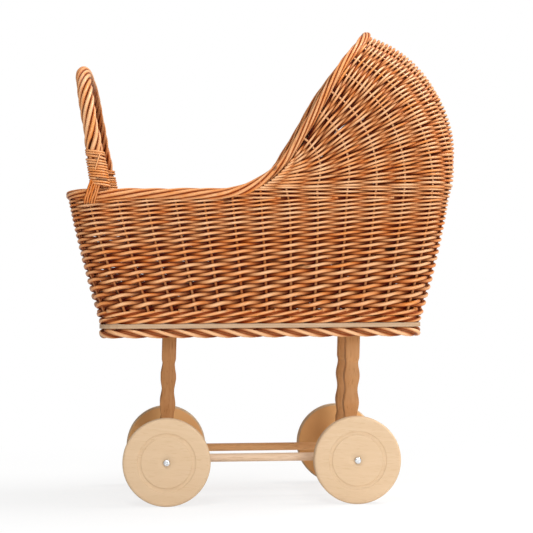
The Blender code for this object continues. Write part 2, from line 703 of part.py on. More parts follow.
def main():
    """Builds every piece of the pram."""
    start_scene()
    willow = finish_of("willow", (0.62, 0.30, 0.11), 0.45)
    pale_beech = finish_of("pale_beech", (0.76, 0.56, 0.36), 0.55)
    beech = finish_of("beech", (0.56, 0.33, 0.17), 0.5)
    plywood = finish_of("birch_plywood", (0.80, 0.62, 0.42), 0.6)
    steel = finish_of("zinc_plated_steel", (0.72, 0.74, 0.76), 0.3, 1.0)
    make_wheels(pale_beech, steel)
    make_beams(beech)
    make_rails(beech)
    for end_name, end in ENDS.items():
        for side_name, side in SIDES.items():
            make_leg(f"{end_name}_{side_name}", end, side, beech)
            make_leg_screws(f"{end_name}_{side_name}", end, side, steel)
    make_base(plywood)
    make_rings(willow)
    make_cot(willow)
    make_hood(willow)
    make_border(willow)
    make_handle(willow)


main()
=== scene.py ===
"""A doll's pram of woven willow on beech wheels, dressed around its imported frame.

Every woven piece is real geometry: willow rods as tubes whose centre lines are worked out with
numpy as whole arrays, one row of the array for each rod.
"""

import logging
import math
from dataclasses import dataclass, field
from enum import Enum

import bpy
import numpy as np
from mathutils import Matrix, Vector

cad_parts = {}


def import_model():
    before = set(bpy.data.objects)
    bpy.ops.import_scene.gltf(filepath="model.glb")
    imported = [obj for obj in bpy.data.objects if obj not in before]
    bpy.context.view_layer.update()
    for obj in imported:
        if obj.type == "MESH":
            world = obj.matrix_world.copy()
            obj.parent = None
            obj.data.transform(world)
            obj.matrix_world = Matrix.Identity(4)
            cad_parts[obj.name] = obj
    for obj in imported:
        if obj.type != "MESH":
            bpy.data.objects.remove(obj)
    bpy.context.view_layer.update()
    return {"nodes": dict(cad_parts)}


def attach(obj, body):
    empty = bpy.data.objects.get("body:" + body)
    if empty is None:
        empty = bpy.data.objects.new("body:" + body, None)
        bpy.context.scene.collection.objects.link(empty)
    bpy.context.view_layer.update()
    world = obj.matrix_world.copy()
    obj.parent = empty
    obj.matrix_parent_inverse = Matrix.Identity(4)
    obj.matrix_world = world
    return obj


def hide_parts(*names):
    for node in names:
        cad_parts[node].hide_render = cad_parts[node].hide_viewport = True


LOG = logging.getLogger("pram")
Array = np.ndarray
Piece = bpy.types.Object
Material = bpy.types.Material
Socket = bpy.types.NodeSocket
Colour = tuple[float, float, float]
BODY = "carriage"
ROD_SIDES = 8
POLE = 0.00001
RNG = np.random.default_rng(7)


class Slot(str, Enum):
    """Names of material slots."""

    WILLOW = "willow"
    PALE_BEECH = "pale_beech"
    BEECH = "beech"
    PLYWOOD = "birch_plywood"
    ZINC = "zinc_plated_steel"


class Opposite(Enum):
    """One of two opposite sides or ends; its value is the sign of its axis."""

    @property
    def label(self) -> str:
        """The word that node names use for it."""
        return self.name.lower()


class Side(Opposite):
    """The pram's two sides, with the sign of Y."""

    LEFT = 1
    RIGHT = -1


class End(Opposite):
    """The pram's two ends, with the sign of X; the hood is at the front."""

    FRONT = 1
    REAR = -1


CORNERS = [(end, side) for end in End for side in Side]


def unit(vectors: Array) -> Array:
    """Vectors divided by their own lengths.

    Args:
        vectors: an array whose last axis holds x, y, z.

    Returns:
        The same directions with length 1.
    """
    return vectors / np.maximum(np.linalg.norm(vectors, axis=-1, keepdims=True), 1e-12)


def point(x: Array, y: Array, z: Array) -> Array:
    """Three coordinates, broadcast together and stacked on a last axis."""
    return np.stack(np.broadcast_arrays(x, y, z), axis=-1).astype(float)


def wander(count: int, samples: int, waves: float, seed: int) -> Array:
    """Smooth random curves between about -1 and 1, one for each rod.

    Each is the sum of three sine waves of random phase, whose lengths are near the given count of
    waves along the rod.

    Args:
        count: how many curves.
        samples: points along each.
        waves: about how many waves fit along it.
        seed: seed of the random phases.

    Returns:
        An array of count by samples.
    """
    rng = np.random.default_rng(seed)
    along = np.linspace(0, 2 * np.pi * waves, samples)
    phases = rng.uniform(0, 2 * np.pi, (3, count, 1))
    pace = rng.uniform(0.6, 1.4, (3, count, 1))
    return np.sin(along * pace + phases).sum(0) / 2


def along_frame(line: Array, outward: Array, closed: bool) -> tuple[Array, Array]:
    """Directions across a line: the binormal is tangent cross outward, the normal binormal cross tangent.

    Args:
        line: points, counted along the last axis but one.
        outward: a direction away from the basket at each point.
        closed: whether the line's end meets its start.

    Returns:
        The normals and the binormals.
    """
    tangent = unit(np.roll(line, -1, -2) - np.roll(line, 1, -2) if closed else np.gradient(line, axis=-2))
    binormal = unit(np.cross(tangent, outward))
    return np.cross(binormal, tangent), binormal


def softened(values: Array, times: int) -> Array:
    """Averages values in place with their neighbours along the second axis, with weights 1, 2, 1.

    Args:
        values: the values, whose ends along that axis stay.
        times: how many times they are averaged.

    Returns:
        The same array.
    """
    for _ in range(times):
        values[:, 1:-1] = (values[:, :-2] + 2 * values[:, 1:-1] + values[:, 2:]) / 4
    return values


def resampled(line: Array, outward: Array, samples: int, closed: bool, blur: int = 4) -> tuple[Array, Array]:
    """A line and its outward directions at evenly spaced points, a little softened.

    Each coordinate is read off as a function of the length walked along the line, and then averaged
    with its neighbours a few times with weights 1, 2, 1.

    Args:
        line: the line's points.
        outward: the outward direction at each.
        samples: how many points the new line has.
        closed: whether its end meets its start.
        blur: how many times it is averaged.

    Returns:
        The new points and outward directions.
    """
    if closed:
        line, outward = (np.concatenate([values, values[:1]]) for values in (line, outward))
    walked = np.concatenate([[0], np.cumsum(np.linalg.norm(np.diff(line, axis=0), axis=1))])
    places = np.linspace(0, walked[-1], samples, endpoint=not closed)
    both = np.concatenate([line, outward], 1)
    even = np.stack([np.interp(places, walked, column) for column in both.T], 1)
    if closed:
        for _ in range(blur):
            even = (np.roll(even, 1, 0) + 2 * even + np.roll(even, -1, 0)) / 4
    else:
        even = softened(even[None], blur)[0]
    return even[:, :3], unit(even[:, 3:])


def arch_walk(
    way: Array, side: Array, corner: Array, across: Array, inset: Array = 0.0
) -> tuple[Array, Array, Array]:
    """A U-shaped arch: a straight side, a quarter round, a straight back, a quarter and a side.

    The arch is walked along its straight parts only, and the corner's radius less the inset times the
    outward normal is added, which turns only in the corners.

    Args:
        way: distance along the arch from the foot of its first side; below 0 it runs on straight.
        side: length of each side.
        corner: radius of the corners.
        across: length of the straight back.
        inset: how far inside the arch the points lie.

    Returns:
        The distance out along the sides, the place across from the middle and the normal's heading.
    """
    quarter = corner * np.pi / 2
    back = side + quarter + across
    heading = (np.clip(way - side, 0, quarter) + np.clip(way - back, 0, quarter)) / corner
    size = corner - inset
    out = np.minimum(way, side) - np.maximum(way - back - quarter, 0) + size * np.sin(heading)
    return out, np.clip(way - side - quarter, 0, across) - across / 2 - size * np.cos(heading), heading


def fan_normal(heading: Array, angle: Array) -> Array:
    """Outward direction of an arch at a heading, in a plane of the hood's fan at an angle from level."""
    return point(np.sin(heading) * np.cos(angle), -np.cos(heading), np.sin(heading) * np.sin(angle))


def linked(name: str, data: bpy.types.ID) -> Piece:
    """Puts a new object into the scene.

    Args:
        name: its name.
        data: its mesh, lamp or camera.

    Returns:
        The object.
    """
    thing = bpy.data.objects.new(name, data)
    bpy.context.scene.collection.objects.link(thing)
    return thing


def ring_quads(base: Array, follow: Array) -> Array:
    """Four-cornered faces between rings of point numbers and the rings that follow them."""
    return np.stack([base, np.roll(base, -1, -1), np.roll(follow, -1, -1), follow], -1).reshape(-1, 4)


def grid_piece(name: str, grid: Array, wrap: bool = True) -> Piece:
    """A closed solid from a grid of points: rings joined along the first axis, with its ends capped.

    Args:
        name: the new object's name.
        grid: rings by points by 3, each ring anticlockwise seen from the last ring's side.
        wrap: whether the last ring is joined to the first instead of capped.

    Returns:
        The object, smooth shaded.
    """
    rings, around = grid.shape[:2]
    index = np.arange(rings * around).reshape(rings, around)
    base, follow = (index, np.roll(index, -1, 0)) if wrap else (index[:-1], index[1:])
    faces = ring_quads(base, follow).tolist()
    if not wrap:
        faces += [index[0, ::-1].tolist(), index[-1].tolist()]
    mesh = bpy.data.meshes.new(name)
    mesh.from_pydata(grid.reshape(-1, 3).tolist(), [], faces)
    mesh.update()
    mesh.polygons.foreach_set("use_smooth", np.ones(len(faces), bool))
    return linked(name, mesh)


def turned_piece(
    name: str, radii: Array, heights: Array, centre: tuple, axis: Array, segments: int, wrap: bool = False
) -> Piece:
    """A solid of revolution about an axis through a centre.

    A point is the centre plus height times the axis plus radius times (cos a times one direction
    across it plus sin a times the other). A profile that ends at the pole's tiny radius is closed there.

    Args:
        name: the new piece's name.
        radii: distances from the axis along the profile.
        heights: places along the axis, one for each radius, or profile by segments.
        centre: a point on the axis.
        axis: the axis's direction.
        segments: steps round it.
        wrap: whether the profile's end joins its start.

    Returns:
        The closed solid.
    """
    angle = np.arange(segments) * 2 * np.pi / segments
    first = unit(np.cross(axis, (0.3, 0.2, 1.0)))
    second = np.cross(axis, first)
    heights = heights[:, None] if heights.ndim == 1 else heights
    around = np.cos(angle)[:, None] * first + np.sin(angle)[:, None] * second
    grid = np.array(centre) + heights[..., None] * axis + radii[:, None, None] * around[None]
    return grid_piece(name, grid[::-1], wrap)


class RodBundle:
    """Gathers rods of willow, each a tube along its own centre line, into one mesh."""

    def __init__(self) -> None:
        """Starts an empty bundle."""
        self.points: list[Array] = []
        self.quads: list[Array] = []
        self.caps: list[Array] = [np.zeros((0, ROD_SIDES), int)]
        self.uvs: list[Array] = []
        self.tones: list[Array] = []
        self.depths: list[Array] = []
        self.count = 0

    def add(
        self,
        line: Array,
        outward: Array,
        radius: Array | float,
        closed: bool = False,
        depth: Array | float = 0.0,
        tone: Array | None = None,
    ) -> None:
        """Adds rods of the same number of points.

        A rod's skin at angle a is its centre line plus the radius times (cos a times the normal plus
        sin a times the binormal). Its map has the share of a turn and the length along the rod.

        Args:
            line: centre lines, rods by points by 3.
            outward: a direction away from the basket at each point, of the same shape.
            radius: the rods' radii, which broadcast to rods by points.
            closed: whether each rod's end meets its start.
            depth: how much painted shade each point gets, 0 to 1; in the weave it is how deep the point lies.
            tone: one number from 0 to 1 for each rod's colour, or None for random ones.
        """
        rods, samples = line.shape[:2]
        normal, binormal = along_frame(line, outward, closed)
        turn = np.arange(ROD_SIDES) / ROD_SIDES
        cos, sin = (wave(2 * np.pi * turn)[:, None] for wave in (np.cos, np.sin))
        size = np.broadcast_to(radius, (rods, samples))[..., None, None]
        skin = line[:, :, None] + size * (cos * normal[:, :, None] + sin * binormal[:, :, None])
        index = self.count + np.arange(rods * samples * ROD_SIDES).reshape(rods, samples, ROD_SIDES)
        base, follow = (index, np.roll(index, -1, 1)) if closed else (index[:, :-1], index[:, 1:])
        self.quads.append(ring_quads(base, follow))
        if not closed:
            self.caps.append(np.concatenate([index[:, 0, ::-1], index[:, -1]]))
        ahead = np.roll(line, -1, 1) if closed else np.concatenate([line[:, 1:], line[:, -1:]], 1)
        walked = np.cumsum(np.linalg.norm(ahead - line, axis=-1), 1)
        along = np.concatenate([np.zeros((rods, 1)), walked], 1)[..., None]
        rows = base.shape[1]
        low, high = (np.broadcast_to(along[:, row : row + rows], base.shape) for row in (0, 1))
        left = np.broadcast_to(np.roll(turn, -ROD_SIDES // 2), base.shape)
        right = left + 1 / ROD_SIDES
        corners = [(left, low), (right, low), (right, high), (left, high)]
        self.uvs.append(np.stack([np.stack(corner, -1) for corner in corners], -2).reshape(-1, 2))
        tone = RNG.uniform(0, 1, rods) if tone is None else tone
        spread = (rods, samples, ROD_SIDES)
        self.tones.append(np.broadcast_to(tone[:, None, None], spread).ravel())
        self.depths.append(np.broadcast_to(np.asarray(depth, float)[..., None], spread).ravel())
        self.points.append(skin.reshape(-1, 3))
        self.count += skin.size // 3

    def piece(self, name: str) -> Piece:
        """The whole bundle as one object at the origin.

        Args:
            name: the new object's name.

        Returns:
            The object, smooth shaded, with UV map rod and attributes tone and depth.
        """
        quads, caps = np.concatenate(self.quads), np.concatenate(self.caps)
        loops = np.concatenate([quads.ravel(), caps.ravel()])
        totals = np.concatenate([np.full(len(quads), 4), np.full(len(caps), ROD_SIDES)])
        starts = np.cumsum(totals) - totals
        mesh = bpy.data.meshes.new(name)
        mesh.vertices.add(self.count)
        mesh.vertices.foreach_set("co", np.concatenate(self.points).astype(np.float32).ravel())
        mesh.loops.add(len(loops))
        mesh.loops.foreach_set("vertex_index", loops.astype(np.int32))
        mesh.polygons.add(len(totals))
        mesh.polygons.foreach_set("loop_start", starts.astype(np.int32))
        mesh.polygons.foreach_set("use_smooth", totals == 4)
        cap_uv = np.full((caps.size, 2), 0.5)
        uv = np.concatenate([*self.uvs, cap_uv]).astype(np.float32)
        mesh.uv_layers.new(name="rod").data.foreach_set("uv", uv.ravel())
        for label, values in (("tone", self.tones), ("depth", self.depths)):
            attribute = mesh.attributes.new(label, "FLOAT", "POINT")
            attribute.data.foreach_set("value", np.concatenate(values).astype(np.float32))
        mesh.update(calc_edges=True)
        mesh.validate()
        return linked(name, mesh)


@dataclass(frozen=True)
class BasketForm:
    """The basket's outer form, as in the CAD: a flared cot with round corners and a hood.

    The hood is a fan of planes through a line across the pram at the pivot. Each plane holds one
    U-shaped arch: a straight side, a round corner, the straight back and the same again.
    """

    middle_x: float = -0.004
    board_top: float = 0.215947
    rim_height: float = 0.370447
    cot_top: float = 0.363
    foot_shift: float = 0.002
    base_half_length: float = 0.196
    base_half_width: float = 0.112
    flare_length: float = 0.0345
    flare_width: float = 0.028
    belly: float = 0.3
    corner: float = 0.034
    wall: float = 0.007
    hood_slope: float = math.radians(56)
    bend_x: float = -0.057
    bend_z: float = 0.47389
    bend_radius: float = 0.10344
    edge_radius: float = 0.11024
    front_reach: float = 0.1985
    roundness: float = 1.8
    side_bulge: float = 0.004
    front_half_width: float = 0.130
    crown_flat: float = 0.005
    rim_side_y: float = 0.1365
    pivot_x: float = 0.012
    pivot_z: float = 0.377
    bow: float = 0.0057
    fan_start: float = 0.0417
    fan_ease: float = 0.075
    fan_power: float = 1.5
    hood_foot: float = 0.363647
    bend_width: float = 0.088
    bow_power: float = 1.35
    profile_steps: int = 60

    def share(self, height: Array) -> Array:
        """Share of the way from the board's top, 0, to the rim, 1."""
        return (height - self.board_top) / (self.rim_height - self.board_top)

    def middle(self, height: Array) -> Array:
        """Where the cot's middle lies along the pram; it leans back from the foot to the rim."""
        return self.middle_x + self.foot_shift * (1 - self.share(height))

    def half_sizes(self, height: Array) -> tuple[Array, Array]:
        """Half length and half width of the cot's outer face; its flare eases off upwards.

        Args:
            height: the heights asked for.

        Returns:
            The half lengths and the half widths.
        """
        share = self.share(height)
        eased = (1 + self.belly) * share - self.belly * share * share
        half_length = self.base_half_length + self.flare_length * eased
        return half_length, self.base_half_width + self.flare_width * eased

    def outline(self, turn: Array, height: Array, inset: Array) -> tuple[Array, Array]:
        """Points of the cot's wall, and the level direction away from it.

        The outline is a smaller rectangle, walked along its straight sides only, plus the corner
        radius times the outward normal, which turns only in the corners.

        Args:
            turn: share of the way round from the middle of the right side, anticlockwise from above.
            height: the points' heights.
            inset: how far inside the outer face they lie.

        Returns:
            The points and the outward normals.
        """
        turn, height, inset = np.broadcast_arrays(turn, height, inset)
        half_length, half_width = self.half_sizes(height)
        radius = self.corner - inset
        a, b = half_length - inset - radius, half_width - inset - radius
        quarter = radius * np.pi / 2
        way = (turn % 1.0) * 4 * (a + b + quarter)
        lengths = [a, quarter, 2 * b, quarter, 2 * a, quarter, 2 * b, quarter, a]
        starts = np.cumsum([0 * a, *lengths[:-1]], 0)
        part = [np.clip(way - start, 0, length) for start, length in zip(starts, lengths)]
        heading = sum(part[1::2]) / radius
        x = self.middle(height) + part[0] - part[4] + part[8] + radius * np.sin(heading)
        y = -b + part[2] - part[6] - radius * np.cos(heading)
        return point(x, y, height), point(np.sin(heading), -np.cos(heading), 0)

    def perimeter(self, height: Array, inset: Array) -> Array:
        """Length of the cot's outline at a height."""
        half_length, half_width = self.half_sizes(height)
        return 4 * (half_length + half_width - 2 * inset) - (8 - 2 * np.pi) * (self.corner - inset)

    def on_bend(self, angle: Array, radius: Array, reach: Array = 0.0) -> tuple[Array, Array]:
        """A place in the side view: a radius from the bend's centre, then a reach at right angles to it."""
        x = self.bend_x + radius * np.sin(angle) + reach * np.cos(angle)
        return x, self.bend_z - radius * np.cos(angle) + reach * np.sin(angle)

    def border_height(self, x: Array) -> Array:
        """Height of the border's middle above a point of the cot's side: level, then up round the bend."""
        rise = np.clip(x - self.bend_x, 0, self.bend_width)
        return self.bend_z - np.sqrt(self.bend_radius**2 - rise**2)

    def mouth_bow(self, along: Array) -> Array:
        """How far the hood's mouth bows out of its plane, by the way along from the bend."""
        share = np.clip(along / self.front_reach, 0, 1) ** self.bow_power
        return self.bow * np.sin(np.pi * share) ** 2

    def fan(self, tau: Array) -> tuple[Array, Array, Array]:
        """Half width, reach and corner radius of the hood's middle surface in one plane of the fan.

        The reach is read off the back's profile, which the CAD gives as a reach about the bend's
        centre, turned into angles and distances about the pivot.

        Args:
            tau: share of the way from the level plane, 0, to the mouth's plane, 1.

        Returns:
            The half width, the reach from the pivot's line and the corner radius.
        """
        start_length, start_width = self.half_sizes(self.hood_foot)
        start = start_width - self.wall / 2
        width = start + self.side_bulge * np.sin(np.pi * tau) - (start - self.front_half_width) * tau * tau
        angle = np.linspace(0, self.hood_slope, self.profile_steps)
        full = self.middle(self.hood_foot) + start_length - self.bend_x
        reach = full - (full - self.front_reach) * (angle / self.hood_slope) ** self.roundness - self.wall / 2
        x, z = self.on_bend(angle, self.edge_radius, reach)
        x, z = x - self.pivot_x, z - self.pivot_z
        reach_here = np.interp(tau * self.hood_slope, np.arctan2(z, x), np.hypot(x, z))
        square = self.corner - self.wall / 2
        return width, reach_here, square + (width - self.crown_flat - square) * tau

    def arch_length(self, tau: Array) -> Array:
        """Length of the hood's arch in one plane of the fan."""
        width, reach, corner = self.fan(tau)
        return 2 * (reach - corner) + np.pi * corner + 2 * (width - corner)

    def hood(self, tau: Array, way: Array, inset: Array) -> tuple[Array, Array]:
        """Points of the hood's wall, and the direction away from it.

        Near the foot of the arch the points are eased over from the pivot's line to the hood's edge,
        and the last planes are bowed out like the mouth.

        Args:
            tau: share of the way from the level plane, 0, to the mouth's plane, 1.
            way: distance along the arch from the pivot on the right side; below 0 it runs on straight.
            inset: how far inside the middle surface they lie.

        Returns:
            The points and the outward normals.
        """
        tau, way, inset = np.broadcast_arrays(tau, way, inset)
        width, reach, corner = self.fan(tau)
        along, y, heading = arch_walk(way, reach - corner, corner, 2 * (width - corner), inset)
        angle = self.hood_slope * tau
        first = np.arccos((self.bend_z - self.pivot_z) / self.edge_radius)
        edge_x, edge_z = self.on_bend(first + (self.hood_slope - first) * tau, self.edge_radius)
        ease = np.clip(1 - np.maximum(along, 0) / self.fan_ease, 0, 1) ** self.fan_power
        lift = self.mouth_bow(along - self.fan_start) * tau**2
        x = self.pivot_x + along * np.cos(angle) + (edge_x - self.pivot_x) * ease - lift * np.sin(angle)
        z = self.pivot_z + along * np.sin(angle) + (edge_z - self.pivot_z) * ease + lift * np.cos(angle)
        return point(x, y, z), fan_normal(heading, angle)


def twisted(
    middle: Array,
    outward: Array,
    rods: int,
    turns: float,
    radial: Array | float,
    level: Array | float,
    phase: float = 0.0,
    laps: int = 0,
) -> tuple[Array, Array]:
    """Centre lines of rods laid round each other in a rope.

    A rod's line is the rope's middle line plus radial times cos p times the outward normal plus level
    times sin p times the binormal; p grows evenly along the rope and starts one share of a turn later
    for each rod. In a closed rope a rod runs on into another one, so it is followed for several laps.

    Args:
        middle: the rope's middle line, points by 3.
        outward: the outward direction at each point.
        rods: how many rods the rope has.
        turns: turns of the twist along the line; a minus sign turns it the other way.
        radial: half size of the twist along the normal.
        level: half size of the twist across the normal.
        phase: angle of the first rod at the start.
        laps: laps that each rod makes round a closed rope, or 0 for an open one.

    Returns:
        The rods' lines and, at each point, the direction away from the rope's middle.
    """
    samples = len(middle)
    normal, binormal = along_frame(middle, outward, laps > 0)
    index = np.arange(samples * max(laps, 1))
    share = index / samples if laps else index / (samples - 1)
    first = np.arange(rods // max(laps, 1))[:, None] / rods
    angle = phase + 2 * np.pi * (turns * share + first)
    base, normal, binormal = (values[index % samples][None] for values in (middle, normal, binormal))
    radial, level = (np.broadcast_to(size, angle.shape)[..., None] for size in (radial, level))
    cos, sin = np.cos(angle)[..., None], np.sin(angle)[..., None]
    return base + radial * cos * normal + level * sin * binormal, cos * normal + sin * binormal


@dataclass
class CotWeave:
    """The cot's wall: upright stakes and one weaver started at each of them.

    A weaver climbs one level from stake to stake and passes in front of every other one, so the
    fronts lie in level rows. Rods and levels get finer towards the rim.
    """

    form: BasketForm
    stakes: int = 41
    levels: int = 36
    bottom: float = 0.2345
    pitch_low: float = 0.0051
    pitch_high: float = 0.0021
    rod_low: float = 0.0028
    rod_high: float = 0.0014
    stake_low: float = 0.0020
    stake_high: float = 0.0015
    squeeze: float = 0.84
    stroke_rise: float = 0.11
    lean_low: float = 0.2265
    lean: float = 0.2514
    steps: int = 8
    overrun: float = 0.7
    lowest: float = 0.2318
    highest: float = 0.3652
    stake_foot: float = 0.2168
    uneven_height: float = 0.00022
    uneven_place: float = 0.02
    uneven_rod: float = 0.07

    def share(self, height: Array) -> Array:
        """Share of the way up from the board to the rim."""
        return np.clip(self.form.share(height), 0, 1.1)

    def rod(self, height: Array) -> Array:
        """Radius of a weaver at a height."""
        return self.rod_low + (self.rod_high - self.rod_low) * self.share(height)

    def stake(self, height: Array) -> Array:
        """Radius of a stake at a height."""
        return self.stake_low + (self.stake_high - self.stake_low) * self.share(height)

    def middle(self, height: Array) -> Array:
        """Depth of the stakes' line inside the outer face."""
        return self.rod(height) + self.reach(height)

    def reach(self, height: Array) -> Array:
        """How far the weavers swing from the stakes' line, a little less than for round rods."""
        return self.squeeze * (self.stake(height) + self.rod(height))

    def turn(self, stake: Array, height: Array) -> Array:
        """Where a stake stands round the cot, as a share of the outline; the stakes lean a little."""
        return (stake + self.lean_low - self.lean * self.share(height)) / self.stakes

    def weavers(self) -> list[Piece]:
        """The weavers, as two pieces.

        At level j, counted as a real number, a weaver's height is the sum of pitches that shrink
        evenly, and its depth swings as the cosine of pi times j about the stakes' line. A sine of 2 pi
        times j makes it climb steeply across a stake and run level between two.

        Returns:
            Every other weaver as one piece, and those between as the second.
        """
        level = np.arange(-self.overrun, self.levels + self.overrun, 1 / self.steps)
        count, samples = self.stakes, len(level)
        fall = (self.pitch_low - self.pitch_high) / (2 * self.levels)
        height = self.bottom + self.pitch_low * level - fall * level * level
        height = height + self.stroke_rise * np.gradient(height, level) * np.sin(2 * np.pi * level)
        height = height + self.uneven_height * wander(count, samples, waves=9, seed=11)
        height = np.clip(height, self.lowest, self.highest)
        front = -np.cos(np.pi * level)[None]
        place = np.arange(count)[:, None] + level
        place = self.turn(place + self.uneven_place * wander(count, samples, waves=12, seed=12), height)
        line, outward = self.form.outline(place, height, self.middle(height) - self.reach(height) * front)
        radius = self.rod(height) * (1 + self.uneven_rod * wander(count, samples, waves=3, seed=13))
        # Painted shade: the weavers darken where they pass behind the stakes.
        depth = np.broadcast_to((1 - front) / 2, height.shape)
        pieces = []
        for half in range(2):
            bundle, chosen = RodBundle(), slice(half, None, 2)
            bundle.add(line[chosen], outward[chosen], radius[chosen], depth=depth[chosen])
            pieces.append(bundle.piece(f"cot_weavers_{half + 1}"))
        return pieces

    def stake_line(self, stakes: Array, high: Array, samples: int) -> tuple[Array, Array, Array]:
        """Lines of stakes from the board up.

        Args:
            stakes: the stakes' numbers.
            high: height of each stake's upper end.
            samples: points along each.

        Returns:
            The lines, their outward directions and their radii.
        """
        share = np.linspace(0, 1, samples)[None]
        height = self.stake_foot + (high[:, None] - self.stake_foot) * share
        line, outward = self.form.outline(self.turn(stakes[:, None], height), height, self.middle(height))
        return line, outward, self.stake(height)


@dataclass
class HoodWeave:
    """The hood's wall: the cot's stakes run on to the mouth's border, crossed by level rows.

    Rows come in pairs that pass in front of opposite stakes. Near the bend there is room for few
    pairs, and more begin at later stakes, so that the rows keep their distance.
    """

    form: BasketForm
    cot: CotWeave
    stakes: int = 19
    row_pitch: float = 0.0052
    rod: float = 0.00164
    stake: float = 0.0015
    inset: float = 0.0018
    first_way: float = 0.0215
    mouth_ways: tuple[float, ...] = (0.036, 0.0686, 0.1066, 0.135)
    border_overrun: float = 0.12
    lead: float = 0.8
    dive_depth: float = 1.2
    squeeze: float = 0.96
    spread_start: float = 0.35
    smoothing: int = 40
    fan_low: float = 0.002
    fan_high: float = 1.012
    neck_levels: int = 6
    neck_start: float = 0.0025
    neck_pitch: float = 0.0024
    neck_rod: float = 0.00136
    neck_overrun: float = 1.3
    neck_taper: float = 0.8
    neck_inside: float = 0.6
    neck_blend_start: float = 0.3636
    neck_blend: float = 0.0134
    steps: int = 8
    stake_join: float = 0.3645
    stake_tail: float = 0.005
    cot_samples: int = 30
    hood_samples: int = 44
    join_samples: int = 11
    uneven_row: float = 0.0009
    uneven_place: float = 0.02
    uneven_rod: float = 0.08

    def ways(self, stake: Array, tau: Array) -> Array:
        """Distance of a stake from the pivot along the arch, in a plane of the fan.

        It eases from the cot's spacing in the level plane to an even spacing along the mouth. Beyond
        the first and the last stake's neighbours it runs on by the first stake's distance.

        Args:
            stake: stake numbers, as real numbers.
            tau: share of the way from the level plane, 0, to the mouth's plane, 1.

        Returns:
            The distances.
        """
        form, count = self.form, self.stakes
        high = np.array(form.cot_top)
        numbers = np.arange(1, count + 1)
        perimeter = form.perimeter(high, self.cot.middle(high))
        skip = form.pivot_x - form.middle_x
        start_length, end_length = (float(form.arch_length(share)) for share in (0.0, 1.0))
        start = (self.cot.turn(numbers, high) * perimeter - skip) * start_length / (perimeter / 2 - 2 * skip)
        start[0] = self.first_way
        middle = (count + 1) / 2
        known = [*range(1, len(self.mouth_ways) + 1), middle]
        end = np.interp(np.minimum(numbers, count + 1 - numbers), known, [*self.mouth_ways, end_length / 2])
        end = np.where(numbers > middle, end_length - end, end)
        spots = np.arange(count + 2)
        level_way = np.interp(stake, spots, [0.0, *start, start_length])
        mouth_way = np.interp(stake, spots, [0.0, *end, end_length])
        beyond = np.minimum(stake, 0) + np.maximum(stake - count - 1, 0)
        return level_way * (1 - tau) + mouth_way * tau + self.first_way * beyond

    def pair_counts(self) -> Array:
        """How many pairs of rows cross each stake, from the stake's length and the rows' distance.

        Returns:
            The counts, with the border's two ends first and last; they rise to the middle and fall.
        """
        numbers = np.clip(np.arange(self.stakes + 2.0), 1, self.stakes)
        tau = np.linspace(0, 1, 80)[None]
        line, _ = self.form.hood(tau, self.ways(numbers[:, None], tau), 0.0)
        length = np.linalg.norm(np.diff(line, axis=1), axis=2).sum(1)
        counts = np.round(length / self.row_pitch).astype(int)
        middle = (self.stakes + 1) // 2
        rising = np.maximum.accumulate(np.minimum(counts, counts[::-1])[: middle + 1])
        return np.concatenate([rising, rising[-2::-1]])

    def weavers(self) -> list[Piece]:
        """All rows of the hood, and the finer level rows of the neck below it.

        The pairs are ranked by steps of the golden section, so that those which begin later lie
        evenly between the others.

        Returns:
            The rows of each parity, as two pieces; the neck's are in the first.
        """
        counts = self.pair_counts()
        pairs = int(counts.max())
        golden = (math.sqrt(5) - 1) / 2
        order = np.argsort(np.argsort((np.arange(pairs) * golden + self.spread_start) % 1.0))
        present = order[:, None] < counts[None]
        rank = np.cumsum(present, 0) - 1
        bundles = [RodBundle(), RodBundle()]
        first = np.argmax(present, 1)
        for start in np.unique(first):
            chosen = np.nonzero(first == start)[0]
            low = start - self.lead if start else -self.border_overrun
            stake = np.arange(low, self.stakes + 1 - low + 1e-6, 1 / self.steps)
            spots = np.arange(start, self.stakes + 2 - start)
            for parity in range(2):
                known = (2 * rank[chosen][:, spots] + parity + 0.5) / (2 * counts[spots])
                tau = softened(np.stack([np.interp(stake, spots, row) for row in known]), self.smoothing)
                self.add_rows(bundles[parity], stake, tau, parity, start, 100 + 7 * int(start) + parity)
        self.add_neck(bundles[0])
        return [bundle.piece(f"hood_weavers_{number}") for number, bundle in enumerate(bundles, 1)]

    def add_rows(
        self, bundle: RodBundle, stake: Array, tau: Array, parity: int, start: int, seed: int
    ) -> None:
        """Adds rows that begin at the same stake; their ends dive behind it.

        Args:
            bundle: where the rods go.
            stake: stake numbers along the rows, as real numbers.
            tau: the rows' places in the fan, rows by points.
            parity: whether they pass in front of even or odd stakes.
            start: the stake at which they begin, or 0 for the border.
            seed: seed of their unevenness.
        """
        rows, samples = tau.shape
        front = np.cos(np.pi * (stake + parity))[None]
        if start:
            over = np.maximum(start - stake, stake - (self.stakes + 1 - start))
            dive = np.clip(over / self.lead, 0, 1)[None]
            front = front * (1 - dive) - self.dive_depth * dive
        wobble = self.uneven_row * wander(rows, samples, waves=6, seed=seed)
        tau = np.clip(self.fan_high * tau + wobble, self.fan_low, self.fan_high)
        place = stake + self.uneven_place * wander(rows, samples, waves=9, seed=seed + 1)
        inset = self.inset - (self.stake + self.squeeze * self.rod) * front
        line, outward = self.form.hood(tau, self.ways(place, tau), inset)
        radius = self.rod * (1 + self.uneven_rod * wander(rows, samples, waves=2, seed=seed + 2))
        # Painted shade: the rows darken where they pass behind the stakes.
        depth = np.broadcast_to((1 - np.clip(front, -1, 1)) / 2, tau.shape)
        bundle.add(line, outward, radius, depth=depth)

